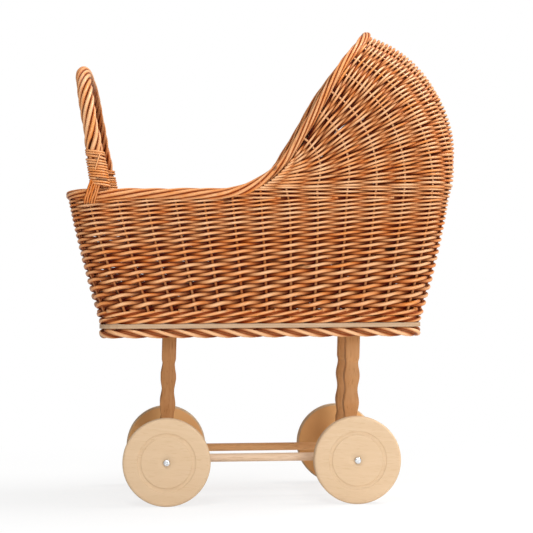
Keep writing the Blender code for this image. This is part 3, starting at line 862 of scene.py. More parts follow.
    def add_neck(self, bundle: RodBundle) -> None:
        """Adds the fine level rows between the cot's weave and the fan, shorter on higher levels.

        A row is the cot's outline near its ends and blends over to the hood's arch with its height.

        Args:
            bundle: where the rods go.
        """
        form, last = self.form, self.stakes + 1
        for level in range(self.neck_levels):
            height = form.cot_top + self.neck_start + self.neck_pitch * level
            low = self.neck_taper * level / (self.neck_levels - 1) - self.neck_overrun
            stake = np.arange(low, last - low, 1 / self.steps)
            front = np.cos(np.pi * (stake + level))
            swing = (self.stake + self.neck_rod) * front
            turn = self.cot.turn(stake, form.cot_top)
            lower, normal = form.outline(turn, form.cot_top, self.cot.middle(form.cot_top) - swing)
            upper, _ = form.hood(0.0, self.ways(np.clip(stake, 0, last), 0.0), self.inset - swing)
            inside = np.clip(np.minimum(stake, last - stake) - self.neck_inside, 0, 1)
            weight = np.clip((height - self.neck_blend_start) / self.neck_blend, 0, 1) * inside[:, None]
            line = lower * (1 - weight) + upper * weight
            line[:, 2] = height
            # Painted shade where the neck's rows pass behind the stakes.
            bundle.add(line[None], normal[None], self.neck_rod, depth=((1 - front) / 2)[None])

    def all_stakes(self) -> Piece:
        """Every stake, from the board up to the border, through the hood where there is one.

        Returns:
            The stakes as one piece.
        """
        cot, form, bundle = self.cot, self.form, RodBundle()
        inside = np.arange(1, self.stakes + 1)
        join = np.full(self.stakes, self.stake_join)
        line, outward, radius = cot.stake_line(inside, join, self.cot_samples)
        tau = np.linspace(0, 1, self.hood_samples)[None]
        upper, upper_out = form.hood(tau, self.ways(inside[:, None], tau), self.inset)
        slope = form.hood_slope
        end = upper[:, -1:] + self.stake_tail * point(-math.sin(slope), 0, math.cos(slope))
        line = np.concatenate([line, upper, end], 1)
        outward = np.concatenate([outward, upper_out, upper_out[:, -1:]], 1)
        radius = np.concatenate([radius, np.full((self.stakes, self.hood_samples + 1), self.stake)], 1)
        # Painted shade: the stakes are darker between the cot's weavers than in the hood.
        depth = np.where(np.arange(radius.shape[1]) < self.cot_samples, 0.55, 0.05) + 0 * radius
        softened(line[:, self.cot_samples - self.join_samples :], 4)
        bundle.add(line, outward, radius, depth=depth, tone=np.full(self.stakes, 0.9))
        rest = np.arange(self.stakes + 1, cot.stakes + 1)
        foot, _ = form.outline(cot.turn(rest, form.rim_height), form.rim_height, form.wall / 2)
        line, outward, radius = cot.stake_line(rest, form.border_height(foot[:, 0]), 34)
        # The same painted shade on the stakes that end under the rim.
        bundle.add(line, outward, radius, depth=0.55)
        return bundle.piece("basket_stakes")


@dataclass(frozen=True)
class Rope:
    """One rope round the cot's foot, as a wale unless its sizes say otherwise.

    Inset is the depth of its middle inside the outer face. Radial and level are half sizes of the
    twist outwards and upwards, and phase is its start angle. Sense is -1 where the visible rods rise
    to the right and 1 where they fall. Tone is the rods' colour, 0 to 1.
    """

    node: str
    height: float
    phase: float
    tone: float
    inset: float = 0.00545
    rod: float = 0.00205
    radial: float = 0.0034
    level: float = 0.0022
    sense: int = -1


@dataclass
class Ropes:
    """The ropes laid round the cot's foot: the two wales above the board and the border under it."""

    form: BasketForm
    stakes: int
    rods: int = 3
    steps: int = 9
    uneven_lay: float = 0.05
    uneven_rod: float = 0.06
    ropes: tuple[Rope, ...] = (
        Rope("lower_wale", height=0.2202, phase=2.1, tone=0.55),
        Rope("upper_wale", height=0.2284, phase=4.2, tone=0.6),
        Rope(
            "foot_border", height=0.2049, phase=0.4, tone=1.0,
            inset=0.0051, rod=0.0027, radial=0.0032, level=0.0032, sense=1,
        ),
    )

    def ring(self, rope: Rope) -> Piece:
        """One closed rope of three rods that turn once over three stakes; its inner side gets painted shade.

        Args:
            rope: its sizes.

        Returns:
            The rope as one piece.
        """
        turn = np.arange(self.stakes * self.steps) / (self.stakes * self.steps)
        middle, outward = self.form.outline(turn, max(rope.height, self.form.board_top), rope.inset)
        middle[:, 2] = rope.height
        turns = rope.sense * self.stakes / self.rods
        samples = len(turn) * self.rods
        swell = 1 + self.uneven_lay * wander(1, samples, waves=30, seed=int(rope.height * 1e4))
        lay = (rope.radial * swell, rope.level * swell)
        line, away = twisted(middle, outward, self.rods, turns, *lay, rope.phase, self.rods)
        facing = (away * np.tile(outward, (self.rods, 1))).sum(-1)
        radius = rope.rod * (1 + self.uneven_rod * wander(1, samples, waves=20, seed=int(rope.height * 2e4)))
        bundle, tone = RodBundle(), np.array([rope.tone])
        # Painted shade: the rods darken as they turn away from the outer face.
        bundle.add(line, away, radius, closed=True, depth=0.7 * np.clip(0.5 - 0.6 * facing, 0, 1), tone=tone)
        return bundle.piece(f"{rope.node}_rods")


@dataclass
class RimBorder:
    """The roped border that runs round the rim, up both bends and over the hood's mouth."""

    form: BasketForm
    rods: int = 6
    rod: float = 0.00236
    radial: float = 0.0043
    turns: int = 7
    mouth_size: float = 0.84
    rear_size: float = 0.80
    rear_start: float = -0.205
    samples: int = 560
    mouth_ease: float = 0.06
    rear_ease: float = 0.02
    phase: float = 0.3
    core_share: float = 0.7
    uneven_lay: float = 0.08
    uneven_rod: float = 0.09

    def route(self) -> tuple[Array, Array]:
        """The border's middle line, from the foot of the right bend.

        The rim is level; each bend is an arc about the bend's centre in which the line closes in on
        the mouth's half width; the mouth is an arch in a sloping plane, bowed out of it a little.

        Returns:
            Its points and their outward directions.
        """
        form = self.form
        angle = np.linspace(0, form.hood_slope, 40)
        ease = (1 - np.cos(np.pi * angle / form.hood_slope)) / 2
        x, z = form.on_bend(angle, form.bend_radius)
        bend = point(x, -form.rim_side_y - (form.front_half_width - form.rim_side_y) * ease, z)
        bend_out = point(0 * angle, -1, 0)
        corner, across = form.front_half_width - form.crown_flat, 2 * form.crown_flat
        side = form.front_reach - form.wall / 2 - corner
        way = np.linspace(0, 2 * side + np.pi * corner + across, 240)
        along, y, heading = arch_walk(way, side, corner, across)
        x, z = form.on_bend(form.hood_slope, form.bend_radius - form.mouth_bow(along), along)
        arch, arch_out = point(x, y, z), fan_normal(heading, form.hood_slope)
        mirror = np.array([1, -1, 1])
        rim, rim_out = form.outline(np.linspace(0, 1, 900), form.rim_height, form.wall / 2)
        behind = rim[:, 0] < form.bend_x - 0.002
        line = np.concatenate([bend, arch[1:-1], bend[::-1] * mirror, rim[behind]])
        outward = np.concatenate([bend_out, arch_out[1:-1], bend_out * mirror, rim_out[behind]])
        return resampled(line, outward, self.samples, closed=True, blur=6)

    def build(self) -> Piece:
        """The border's rods, laid round each other with seven turns and one sixth, and a core rod.

        The rope is full along the rim; it shrinks to the mouth's size on the way up the bends and to
        the rear end's size round the rim's rear corners.

        Returns:
            The border as one piece.
        """
        middle, outward = self.route()
        samples = self.samples * self.rods
        height = np.clip((middle[:, 2] - self.form.rim_height) / self.mouth_ease, 0, 1)
        rear = np.clip((self.rear_start - middle[:, 0]) / self.rear_ease, 0, 1)
        size = 1 - (1 - self.mouth_size) * height - (1 - self.rear_size) * rear
        size = np.tile(size, self.rods) * (1 + self.uneven_lay * wander(1, samples, waves=60, seed=31))
        lay, turns = self.radial * size, -(self.turns + 1 / self.rods)
        line, away = twisted(middle, outward, self.rods, turns, lay, lay, self.phase, self.rods)
        radius = self.rod * size * (1 + self.uneven_rod * wander(1, samples, waves=45, seed=32))
        bundle = RodBundle()
        # The rods get a little painted shade, and the core rod, seen only in the gaps, gets it in full.
        bundle.add(line, away, radius, closed=True, depth=0.1, tone=np.array([0.6]))
        core = self.core_share * lay[:, : self.samples]
        bundle.add(middle[None], outward[None], core, closed=True, depth=1.0)
        return bundle.piece("rim_border_rods")


@dataclass
class Handle:
    """The bow handle: a rope of seven rods, bound at both feet and tied over the border."""

    form: BasketForm
    x: float = -0.1905
    skew: float = 0.002
    lean: float = math.radians(9.2)
    rise: float = 0.152
    bend_radius: float = 0.080
    foot: float = 0.01273
    rods: int = 7
    rod: float = 0.0027
    radial: float = 0.0065
    twist: float = math.radians(20)
    core: float = 0.0040
    bulge: float = 0.16
    bulge_way: float = 0.047
    bulge_width: float = 0.013
    wrap_rod: float = 0.00145
    wrap_turns: tuple[float, ...] = (0, 10, 10.6, 12.6)
    wrap_heights: tuple[float, ...] = (0.0100, 0.0412, 0.0456, 0.0510)
    wrap_radii: tuple[float, ...] = (0.0106, 0.0106, 0.0101, 0.0101)
    wrap_shifts: tuple[float, ...] = (0, 0, 0.0004, 0.0004)
    wrap_tilt: float = 0.0026
    wrap_steps: int = 26
    wrap_start: float = math.radians(36)
    over_rod: float = 0.0012
    over_start: float = math.radians(64.8)
    over_sweep: float = math.radians(36)
    over_top: float = 0.006
    over_drop: float = 0.0165
    over_lift: float = 0.0024
    over_tuck: float = 0.0012
    tie_rods: int = 5
    tie_rod: float = 0.00142
    tie_spacing: float = 2.02
    tie_radius: float = 0.0094
    tie_close: float = 0.0020
    tie_top: float = 0.0165
    tie_drop: float = 0.0105
    tie_shift: float = -0.0060
    tie_lean: float = 0.0085
    tie_steps: int = 14
    uneven_lay: float = 0.05
    uneven_rod: float = 0.08
    uneven_wrap: float = 0.0002
    uneven_tie: float = 0.0003

    def turned(self, local: Array) -> Array:
        """Turns directions of the leaning handle's own frame into the pram's.

        Args:
            local: the directions.

        Returns:
            The turned directions.
        """
        x, y, z = np.moveaxis(local, -1, 0)
        cos, sin = math.cos(self.lean), math.sin(self.lean)
        return point(x * cos - z * sin, y, x * sin + z * cos)

    def placed(self, local: Array) -> Array:
        """Points of the leaning handle's own frame, put in their place; x shifts a little with y."""
        skew = self.skew * local[..., 1] / self.form.rim_side_y
        return self.turned(local) + point(self.x + skew, 0, self.form.rim_height)

    def route(self, samples: int) -> tuple[Array, Array]:
        """The handle's middle line: up, round a quarter, across, round a quarter and down.

        Args:
            samples: how many points it has.

        Returns:
            Its points and their outward directions.
        """
        leg = self.rise / math.cos(self.lean) - self.bend_radius - self.foot
        across = 2 * (self.form.rim_side_y - self.bend_radius)
        way = np.linspace(0, 2 * leg + np.pi * self.bend_radius + across, 600)
        out, y, heading = arch_walk(way, leg, self.bend_radius, across)
        local, outward = point(0, y, self.foot + out), point(0, -np.cos(heading), np.sin(heading))
        return resampled(self.placed(local), self.turned(outward), samples, closed=False)

    def bow(self) -> Piece:
        """The rope of seven rods round a core rod, thicker where it leaves each foot.

        The swelling is a bell curve of the way from the nearer foot. The inner side gets painted shade, and
        the core rod gets it in full.

        Returns:
            The bow as one piece.
        """
        middle, outward = self.route(260)
        samples = len(middle)
        length = np.linalg.norm(np.diff(middle, axis=0), axis=1).sum()
        turns = length * math.tan(self.twist) / (2 * np.pi * self.radial)
        way = np.linspace(0, length, samples)
        bulge = np.exp(-(((np.minimum(way, length - way) - self.bulge_way) / self.bulge_width) ** 2))
        swell = 1 + self.uneven_lay * wander(self.rods, samples, waves=6, seed=41)
        lay = self.radial * (1 + self.bulge * bulge) * swell
        line, away = twisted(middle, outward, self.rods, turns, lay, lay, phase=0.2)
        radius = self.rod * (1 + self.uneven_rod * wander(self.rods, samples, waves=4, seed=42))
        bundle = RodBundle()
        # Painted shade: the rods darken as they turn to the bow's inner side.
        bundle.add(line, away, radius, depth=0.05 + 0.7 * np.clip(-(away * outward).sum(-1), 0, 1))
        bundle.add(middle[None], outward[None], self.core, depth=1.0)
        return bundle.piece("handle_rods")

    def wind(
        self,
        bundle: RodBundle,
        side: Side,
        angle: Array,
        radius: Array,
        x: Array | float,
        z: Array,
        rod: float,
        depth: float,
    ) -> None:
        """Adds one rod that winds round a foot of the handle.

        Args:
            bundle: where the rod goes.
            side: which foot.
            angle: angle of each point round the foot.
            radius: its distance from the foot's middle.
            x: its shift along the pram.
            z: its height above the rim.
            rod: the rod's radius.
            depth: how much painted shade the rod gets.
        """
        away = point(np.cos(angle), np.sin(angle), 0)
        local = radius[:, None] * away + point(x, side.value * self.form.rim_side_y, z)
        bundle.add(self.placed(local)[None], self.turned(away)[None], rod, depth=depth)

    def binding(self, side: Side) -> Piece:
        """The rod wrapped round one foot of the handle: ten close turns, a step and two more.

        A second rod slants down over the turns and tucks in at its end.

        Args:
            side: which foot.

        Returns:
            The binding as one piece.
        """
        turn = np.linspace(0, self.wrap_turns[-1], self.wrap_steps * int(self.wrap_turns[-1]))
        knots = (self.wrap_heights, self.wrap_radii, self.wrap_shifts)
        height, radius, shift = (np.interp(turn, self.wrap_turns, known) for known in knots)
        angle = 2 * np.pi * turn * side.value + self.wrap_start
        radius = radius + self.uneven_wrap * wander(1, len(turn), waves=14, seed=51)[0]
        height = height - self.wrap_tilt * np.cos(angle)
        height = height + self.uneven_wrap * wander(1, len(turn), waves=17, seed=52)[0]
        bundle, share = RodBundle(), np.linspace(0, 1, 24)
        self.wind(bundle, side, angle, radius, shift, height, self.wrap_rod, depth=0.1)
        over = (self.over_start + self.over_sweep * share) * side.value
        over_radius = self.wrap_radii[0] + self.over_lift - self.over_tuck * share**6
        over_height = self.wrap_heights[-1] - self.over_top - self.over_drop * share
        self.wind(bundle, side, over, over_radius, 0.0, over_height, self.over_rod, depth=0.0)
        return bundle.piece(f"handle_binding_rods_{side.label}")

    def ties(self, side: Side) -> Piece:
        """The ends of the handle's rods, which pass down both sides of the border and tuck in.

        Above the border's middle a rod's distance from it is the tie's radius less a share that grows
        with the height squared; below, it follows an arc whose distance falls off as the cosine to the
        power 0.7, so that the end turns under. On the outer side the rods lean backwards going down.

        Args:
            side: which foot of the handle.

        Returns:
            The ends as one piece.
        """
        bundle, count = RodBundle(), self.tie_rods
        drop = np.linspace(0, 0.46 * np.pi, self.tie_steps)[1:]
        height = np.concatenate([np.linspace(self.tie_top, 0, self.tie_steps), -self.tie_drop * np.sin(drop)])
        above = np.clip(height / self.tie_top, 0, 1)
        share = np.concatenate([np.ones(self.tie_steps), np.cos(drop) ** 0.7])
        reach = self.tie_radius * share - self.tie_close * above**2
        fall = np.clip((self.tie_top - height) / (self.tie_top + self.tie_drop), 0, 1)
        number = np.arange(count)[:, None] - (count - 1) / 2
        x = self.x + self.skew * side.value + self.tie_shift + self.tie_spacing * self.tie_rod * number
        x = x + self.uneven_tie * wander(count, len(height), waves=2, seed=61)
        radius = self.tie_rod * (1 + self.uneven_rod * wander(count, len(height), waves=1, seed=62))
        for outer, lean in ((1, self.tie_lean), (-1, 0.0)):
            y = side.value * (self.form.rim_side_y + outer * reach)
            line = point(x - lean * fall, y, self.form.rim_height + height)
            away = point(0 * x, side.value * outer, 90 * np.minimum(height, 0.0))
            # The ends get some painted shade.
            bundle.add(line, unit(away), radius, depth=0.25, tone=np.linspace(0.1, 0.4, count))
        return bundle.piece(f"handle_tie_rods_{side.label}")


@dataclass
class Timber:
    """The turned and planed beech parts: wheels, legs, cross beams and rails."""

    middle_x: float = -0.004
    wheel_diameter: float = 0.1045
    wheel_thickness: float = 0.018
    wheel_edge: float = 0.0032
    ring_radius: float = 0.0325
    ring_half: float = 0.0024
    ring_depth: float = 0.0011
    bore: float = 0.0029
    wheelbase: float = 0.2276
    track: float = 0.235
    axle_height: float = 0.05225
    leg_spacing: float = 0.082
    leg_foot: float = 0.062547
    leg_top: float = 0.210647
    leg_block: float = 0.0176
    leg_waist: float = 0.0152
    leg_swell: float = 0.0192
    turned_bottom: float = 0.098947
    turned_top: float = 0.165947
    shoulder: float = 0.007
    swells: int = 2
    leg_top_offset: float = 0.005
    beam: tuple[float, float, float] = (0.018, 0.2134, 0.020)
    rail_diameter: float = 0.010
    rail_spacing: float = 0.140
    rail_half: float = 0.1128
    bore_edge: float = 0.0006
    ring_margin: float = 0.0003
    face_radii: tuple[float, float] = (0.012, 0.043)
    back_radius: float = 0.03
    leg_end: float = 0.0008
    leg_end_inset: float = 0.0005
    leg_edge: float = 0.0016
    beam_end: float = 0.001
    beam_edge: float = 0.0015
    rail_edge: float = 0.0008
    edge_steps: int = 5

    def wheel_x(self, end: End) -> float:
        """Where a beam and its wheels lie along the pram."""
        return self.middle_x + end.value * self.wheelbase / 2

    def wheel(self, end: End, side: Side) -> Piece:
        """One wheel: its profile is turned about the axle.

        The profile runs from the bore out over the face, which has a ring turned in it as half an
        ellipse, over a round edge, down the tread and back along the inner face.

        Args:
            end: which end of the pram it is at.
            side: which side.

        Returns:
            The wheel as one closed piece.
        """
        half, radius, edge = self.wheel_thickness / 2, self.wheel_diameter / 2, self.wheel_edge
        groove = np.sin(np.linspace(-np.pi / 2, np.pi / 2, 15))
        rim, turn = self.ring_half + self.ring_margin, np.linspace(0, np.pi / 2, 9)
        inner, outer = self.face_radii
        radii = np.concatenate([
            [self.bore, self.bore + self.bore_edge, inner, self.ring_radius - rim],
            self.ring_radius + self.ring_half * groove,
            [self.ring_radius + rim, outer],
            radius - edge + edge * np.sin(turn),
            radius - edge + edge * np.cos(turn),
            [self.back_radius, self.bore + self.bore_edge, self.bore],
        ])
        heights = np.concatenate([
            [half - self.bore_edge, half, half, half],
            half - self.ring_depth * np.sqrt(np.clip(1 - groove**2, 0, 1)),
            [half, half],
            half - edge + edge * np.cos(turn),
            edge - half - edge * np.sin(turn),
            [-half, -half, self.bore_edge - half],
        ])
        centre = (self.wheel_x(end), side.value * self.track / 2, self.axle_height)
        name = f"wheel_turned_{end.label}_{side.label}"
        return turned_piece(name, radii, heights, centre, point(0, side.value, 0), 96, wrap=True)

    def square_bar(self, name: str, middle: Array, half: Array, edge: float, upright: bool) -> Piece:
        """A bar of square section with rounded edges, upright or across the pram.

        Each section is four quarter circles about points set in from its corners.

        Args:
            name: the new piece's name.
            middle: middles of the sections.
            half: half sizes of each section along the two other axes, sections by 2.
            edge: radius of the rounded edges.
            upright: whether the sections lie level, one above the other.

        Returns:
            The bar as one closed piece.
        """
        corner, step = np.divmod(np.arange(4 * self.edge_steps), self.edge_steps)
        angle = (corner + step / (self.edge_steps - 1)) * np.pi / 2
        to_corner = corner * np.pi / 2 + np.pi / 4
        u = np.sign(np.cos(to_corner)) * (half[:, :1] - edge) + edge * np.cos(angle)
        v = np.sign(np.sin(to_corner)) * (half[:, 1:] - edge) + edge * np.sin(angle)
        offset = point(u, v, 0) if upright else point(u, 0, v)[:, ::-1]
        return grid_piece(name, middle[:, None] + offset, wrap=False)

    def leg(self, end: End, side: Side) -> Piece:
        """One leg: square blocks at both ends and two swells between waists, leaning a little.

        Its width is a cosine wave between waist and swell along the turned part, and eases over to
        the block's width across the shoulders.

        Args:
            end: which end of the pram it is at.
            side: which side.

        Returns:
            The leg as one closed piece.
        """
        foot, top, low, high = self.leg_foot, self.leg_top, self.turned_bottom, self.turned_top
        height = np.concatenate([
            [foot, foot + self.leg_end],
            np.linspace(low - self.shoulder, high + self.shoulder, 72),
            [top - self.leg_end, top],
        ])
        share = np.clip((height - low) / (high - low), 0, 1)
        swell = (1 - np.cos(2 * np.pi * self.swells * share)) / 2
        turned = self.leg_waist + (self.leg_swell - self.leg_waist) * swell
        block = np.clip(np.maximum(low - height, height - high) / self.shoulder, 0, 1)
        half = (turned + (self.leg_block - turned) * block * block * (3 - 2 * block)) / 2
        half[[0, -1]] -= self.leg_end_inset
        x = self.wheel_x(end) + self.leg_top_offset * (height - foot) / (top - foot)
        middle = point(x, side.value * self.leg_spacing / 2, height)
        name = f"leg_shaped_{end.label}_{side.label}"
        return self.square_bar(name, middle, np.stack([half, half], 1), self.leg_edge, upright=True)

    def cross_beam(self, end: End) -> Piece:
        """One square beam between two wheels, with its edges and ends rounded.

        Args:
            end: which end of the pram it is at.

        Returns:
            The beam as one closed piece.
        """
        width, length, tall = self.beam
        inset = self.beam_end * np.array([1, 0, 0, 1])
        y = np.array([-1, -1, 1, 1]) * length / 2 + self.beam_end * np.array([0, 1, -1, 0])
        half = np.stack([width / 2 - inset, tall / 2 - inset], 1)
        middle = point(self.wheel_x(end), y, self.axle_height)
        return self.square_bar(f"beam_planed_{end.label}", middle, half, self.beam_edge, upright=False)

    def rail(self, side: Side) -> Piece:
        """One dowel between the two beams, a turned piece with bevelled ends.

        Args:
            side: which side of the pram it is at.

        Returns:
            The dowel as one closed piece.
        """
        radius, half, edge = self.rail_diameter / 2, self.rail_half, self.rail_edge
        radii = np.array([POLE, radius - edge, radius, radius, radius - edge, POLE])
        heights = np.array([half, half, half - edge, edge - half, -half, -half])
        centre = (self.middle_x, side.value * self.rail_spacing / 2, self.axle_height)
        return turned_piece(f"rail_dowel_{side.label}", radii, heights, centre, point(1, 0, 0), 40)


@dataclass
class Screw:
    """A zinc-plated screw whose head has a cross recess."""

    head: float = 0.008
    tall: float = 0.0028
    shank: float = 0.005
    length: float = 0.040
    sunk: bool = False
    arm: float = 0.0021
    slot: float = 0.00042
    recess: float = 0.0012
    fade: float = 0.00012
    brim: float = 0.42
    segments: int = 72
    rings: int = 22

    def build(self, name: str, centre: tuple, axis: Array, turn: float) -> Piece:
        """One screw, with the underside of its head at the centre, or the top of a sunk one.

        The head's height falls off as the square root of one less the fourth power of the share of
        its radius. The recess takes away a depth where a point lies in either arm of the cross.

        Args:
            name: the new piece's name.
            centre: where the head sits.
            axis: direction out of the head.
            turn: angle of the cross.

        Returns:
            The closed piece.
        """
        share = np.linspace(0.002, 1, self.rings)
        radius = share * self.head / 2
        angle = np.arange(self.segments) * 2 * np.pi / self.segments + turn
        x, y = np.abs(radius[:, None] * np.cos(angle)), np.abs(radius[:, None] * np.sin(angle))
        round_top = self.tall * (self.brim + (1 - self.brim) * np.sqrt(1 - share**4 * 0.9999))
        dome = 0 * share if self.sunk else round_top
        between = np.clip((self.slot - np.minimum(x, y)) / self.fade + 0.5, 0, 1)
        along = np.clip((self.arm - np.maximum(x, y)) / (4 * self.fade) + 0.5, 0, 1)
        hole = np.clip((1.6 * self.slot - radius[:, None]) / self.fade + 0.5, 0, 1)
        top = dome[:, None] - self.recess * np.maximum(between * along, hole)
        shank, tip = self.shank / 2, [self.shank / 2 - self.length, -self.length]
        if self.sunk:
            lower_radii, lower_heights = [shank, shank, POLE], [-self.tall, *tip]
        else:
            lower_radii = [self.head / 2, self.head / 2 - 0.0002, shank, shank, POLE]
            lower_heights = [0.0003, 0.0, 0.0, *tip]
        heights = np.concatenate([top, np.tile(np.array(lower_heights)[:, None], (1, self.segments))])
        radii = np.concatenate([radius, lower_radii])
        return turned_piece(name, radii, heights, centre, axis, self.segments)


def rgba(colour: Colour) -> tuple[float, float, float, float]:
    """A colour with full alpha."""
    return (*colour, 1.0)


class Nodes:
    """Short calls for building one node tree."""

    def __init__(self, tree: bpy.types.NodeTree) -> None:
        """Takes the tree that the calls add to."""
        self.tree = tree

    def add(self, kind: str, inputs: dict | None = None, **settings: object) -> bpy.types.Node:
        """Adds a node.

        Args:
            kind: the node's type name.
            inputs: a value or an output socket for each named or numbered input.
            settings: the node's own settings.

        Returns:
            The node.
        """
        node = self.tree.nodes.new(kind)
        for key, value in settings.items():
            setattr(node, key, value)
        for key, value in (inputs or {}).items():
            self.feed(node, key, value)
        return node

    def feed(self, node: bpy.types.Node, key: str | int, value: object) -> None:
        """Joins an output socket to a node's input, or sets the input to a plain value.

        Args:
            node: the node.
            key: the input's name or number.
            value: the socket or the plain value.
        """
        if isinstance(value, Socket):
            self.tree.links.new(value, node.inputs[key])
        else:
            node.inputs[key].default_value = value

    def math(self, operation: str, first: Socket | float, second: Socket | float = 0.0) -> Socket:
        """One step of arithmetic on numbers."""
        return self.add("ShaderNodeMath", {0: first, 1: second}, operation=operation).outputs[0]

    def times(self, value: Socket, factor: Socket | float) -> Socket:
        """A value times a factor."""
        return self.math("MULTIPLY", value, factor)

    def scaled(self, value: Socket, factor: float, more: float) -> Socket:
        """A value times a factor, and a number more."""
        inputs = {0: value, 1: factor, 2: more}
        return self.add("ShaderNodeMath", inputs, operation="MULTIPLY_ADD").outputs[0]

    def vector(self, x: Socket | float, y: Socket | float, z: Socket | float) -> Socket:
        """A vector of three numbers."""
        return self.add("ShaderNodeCombineXYZ", {0: x, 1: y, 2: z}).outputs[0]

    def noise(self, vector: Socket, scale: float, detail: float = 2.0, roughness: float = 0.55) -> Socket:
        """Values of a smooth noise, 0 to 1."""
        inputs = {"Vector": vector, "Scale": scale, "Detail": detail, "Roughness": roughness}
        return self.add("ShaderNodeTexNoise", inputs).outputs[0]

    def mix(
        self, factor: Socket | float, first: Socket | Colour, second: Socket | Colour, blend: str = "MIX"
    ) -> Socket:
        """Mixes two colours.

        Args:
            factor: share of the second colour.
            first: the first colour.
            second: the second.
            blend: the node's way of mixing.

        Returns:
            The mixed colour.
        """
        first, second = (end if isinstance(end, Socket) else rgba(end) for end in (first, second))
        inputs = {0: factor, 6: first, 7: second}
        return self.add("ShaderNodeMix", inputs, data_type="RGBA", blend_type=blend).outputs[2]

    def remap(
        self, value: Socket, low: float, high: float, to_low: float = 0.0, to_high: float = 1.0
    ) -> Socket:
        """A value taken from one range to another, held at its ends."""
        inputs = {0: value, 1: low, 2: high, 3: to_low, 4: to_high}
        return self.add("ShaderNodeMapRange", inputs).outputs[0]


class Surface(Nodes):
    """A new material with short calls for its node tree and its Principled shader."""

    def __init__(self, name: str) -> None:
        """Makes the material.

        Args:
            name: the material's name.
        """
        self.material = bpy.data.materials.new(name)
        self.material.use_nodes = True
        super().__init__(self.material.node_tree)
        self.shader = self.tree.nodes["Principled BSDF"]
        self.place: Socket | None = None

    def object_place(self) -> Socket:
        """Object coordinates."""
        self.place = self.place or self.add("ShaderNodeTexCoord").outputs["Object"]
        return self.place

    def group(self, tree: bpy.types.NodeTree, inputs: dict[str, Socket]) -> list[Socket]:
        """The outputs of an effect group placed in this material."""
        return list(self.add("ShaderNodeGroup", inputs, node_tree=tree).outputs)

    def finish(self, height: Socket, strength: float, distance: float, **inputs: object) -> Material:
        """Feeds the shader and gives the finished material.

        Args:
            height: heights of a fine relief.
            strength: the relief's strength.
            distance: the relief's size.
            inputs: what goes into the shader's inputs, named in small letters with low lines.

        Returns:
            The material.
        """
        bump = {"Strength": strength, "Distance": distance, "Height": height}
        self.feed(self.shader, "Normal", self.add("ShaderNodeBump", bump).outputs[0])
        self.dress(**inputs)
        return self.material

    def dress(self, **inputs: object) -> None:
        """Feeds the shader's inputs, named in small letters with low lines."""
        for label, value in inputs.items():
            self.feed(self.shader, label.replace("_", " ").title().replace("Ior", "IOR"), value)


def effect_group(
    name: str, inputs: dict[str, str], outputs: list[str]
) -> tuple[Nodes, list[Socket], bpy.types.Node]:
    """A new shader node group with named inputs and number outputs.

    Args:
        name: the group's name.
        inputs: socket type of each named input.
        outputs: names of its outputs.

    Returns:
        Its nodes, what comes in by its inputs and its output node.
    """
    tree = bpy.data.node_groups.new(name, "ShaderNodeTree")
    for label, kind in inputs.items():
        tree.interface.new_socket(name=label, in_out="INPUT", socket_type=kind)
    for label in outputs:
        tree.interface.new_socket(name=label, in_out="OUTPUT", socket_type="NodeSocketFloat")
    nodes = Nodes(tree)
    source = nodes.add("NodeGroupInput")
    return nodes, [source.outputs[label] for label in inputs], nodes.add("NodeGroupOutput")


def rod_streaks_group() -> bpy.types.NodeTree:
    """The marks of a peeled, varnished willow rod: long streaks, broad patches, fine fibres and knots.

    Crevice is 1 along the two sides where a rod lies against its neighbours and 0 on its front and back; the
    willow finish paints shade there by it.

    Returns:
        The group's tree.
    """
    inputs = dict.fromkeys(("Around", "Along", "Tone"), "NodeSocketFloat")
    labels = ["Streak", "Patch", "Fibre", "Knot", "Crevice"]
    nodes, (around, along, tone), result = effect_group("rod streaks", inputs, labels)
    offset = nodes.times(tone, 57.0)

    def stretched(across: float, length: float) -> Socket:
        """Coordinates on the rod, stretched along it."""
        return nodes.vector(nodes.times(around, across), nodes.times(along, length), offset)

    facing = nodes.math("ABSOLUTE", nodes.math("COSINE", nodes.times(around, 2 * math.pi)))
    spots = nodes.noise(stretched(2.2, 36.0), 1.0, detail=0.0)
    nodes.feed(result, "Streak", nodes.noise(stretched(5.0, 62.0), 1.0, detail=3.0, roughness=0.6))
    nodes.feed(result, "Patch", nodes.noise(stretched(0.8, 13.0), 1.0))
    nodes.feed(result, "Fibre", nodes.noise(stretched(24.0, 190.0), 1.0))
    nodes.feed(result, "Knot", nodes.remap(spots, 0.80, 0.86))
    nodes.feed(result, "Crevice", nodes.math("POWER", nodes.math("SUBTRACT", 1.0, facing), 1.1))
    return nodes.tree


def wood_grain_group() -> bpy.types.NodeTree:
    """The figure of planed wood: growth bands, fibres and short dark flecks along the grain.

    Returns:
        The group's tree.
    """
    inputs, labels = {"Vector": "NodeSocketVector"}, ["Band", "Fibre", "Fleck"]
    nodes, (vector,), result = effect_group("wood grain", inputs, labels)
    band = nodes.math("SINE", nodes.times(nodes.noise(vector, 0.10, detail=1.5), 60.0))
    nodes.feed(result, "Band", nodes.remap(band, -1.0, 1.0))
    nodes.feed(result, "Fibre", nodes.noise(vector, 1.0, detail=5.0, roughness=0.65))
    nodes.feed(result, "Fleck", nodes.remap(nodes.noise(vector, 2.6, detail=1.0), 0.60, 0.70))
    return nodes.tree


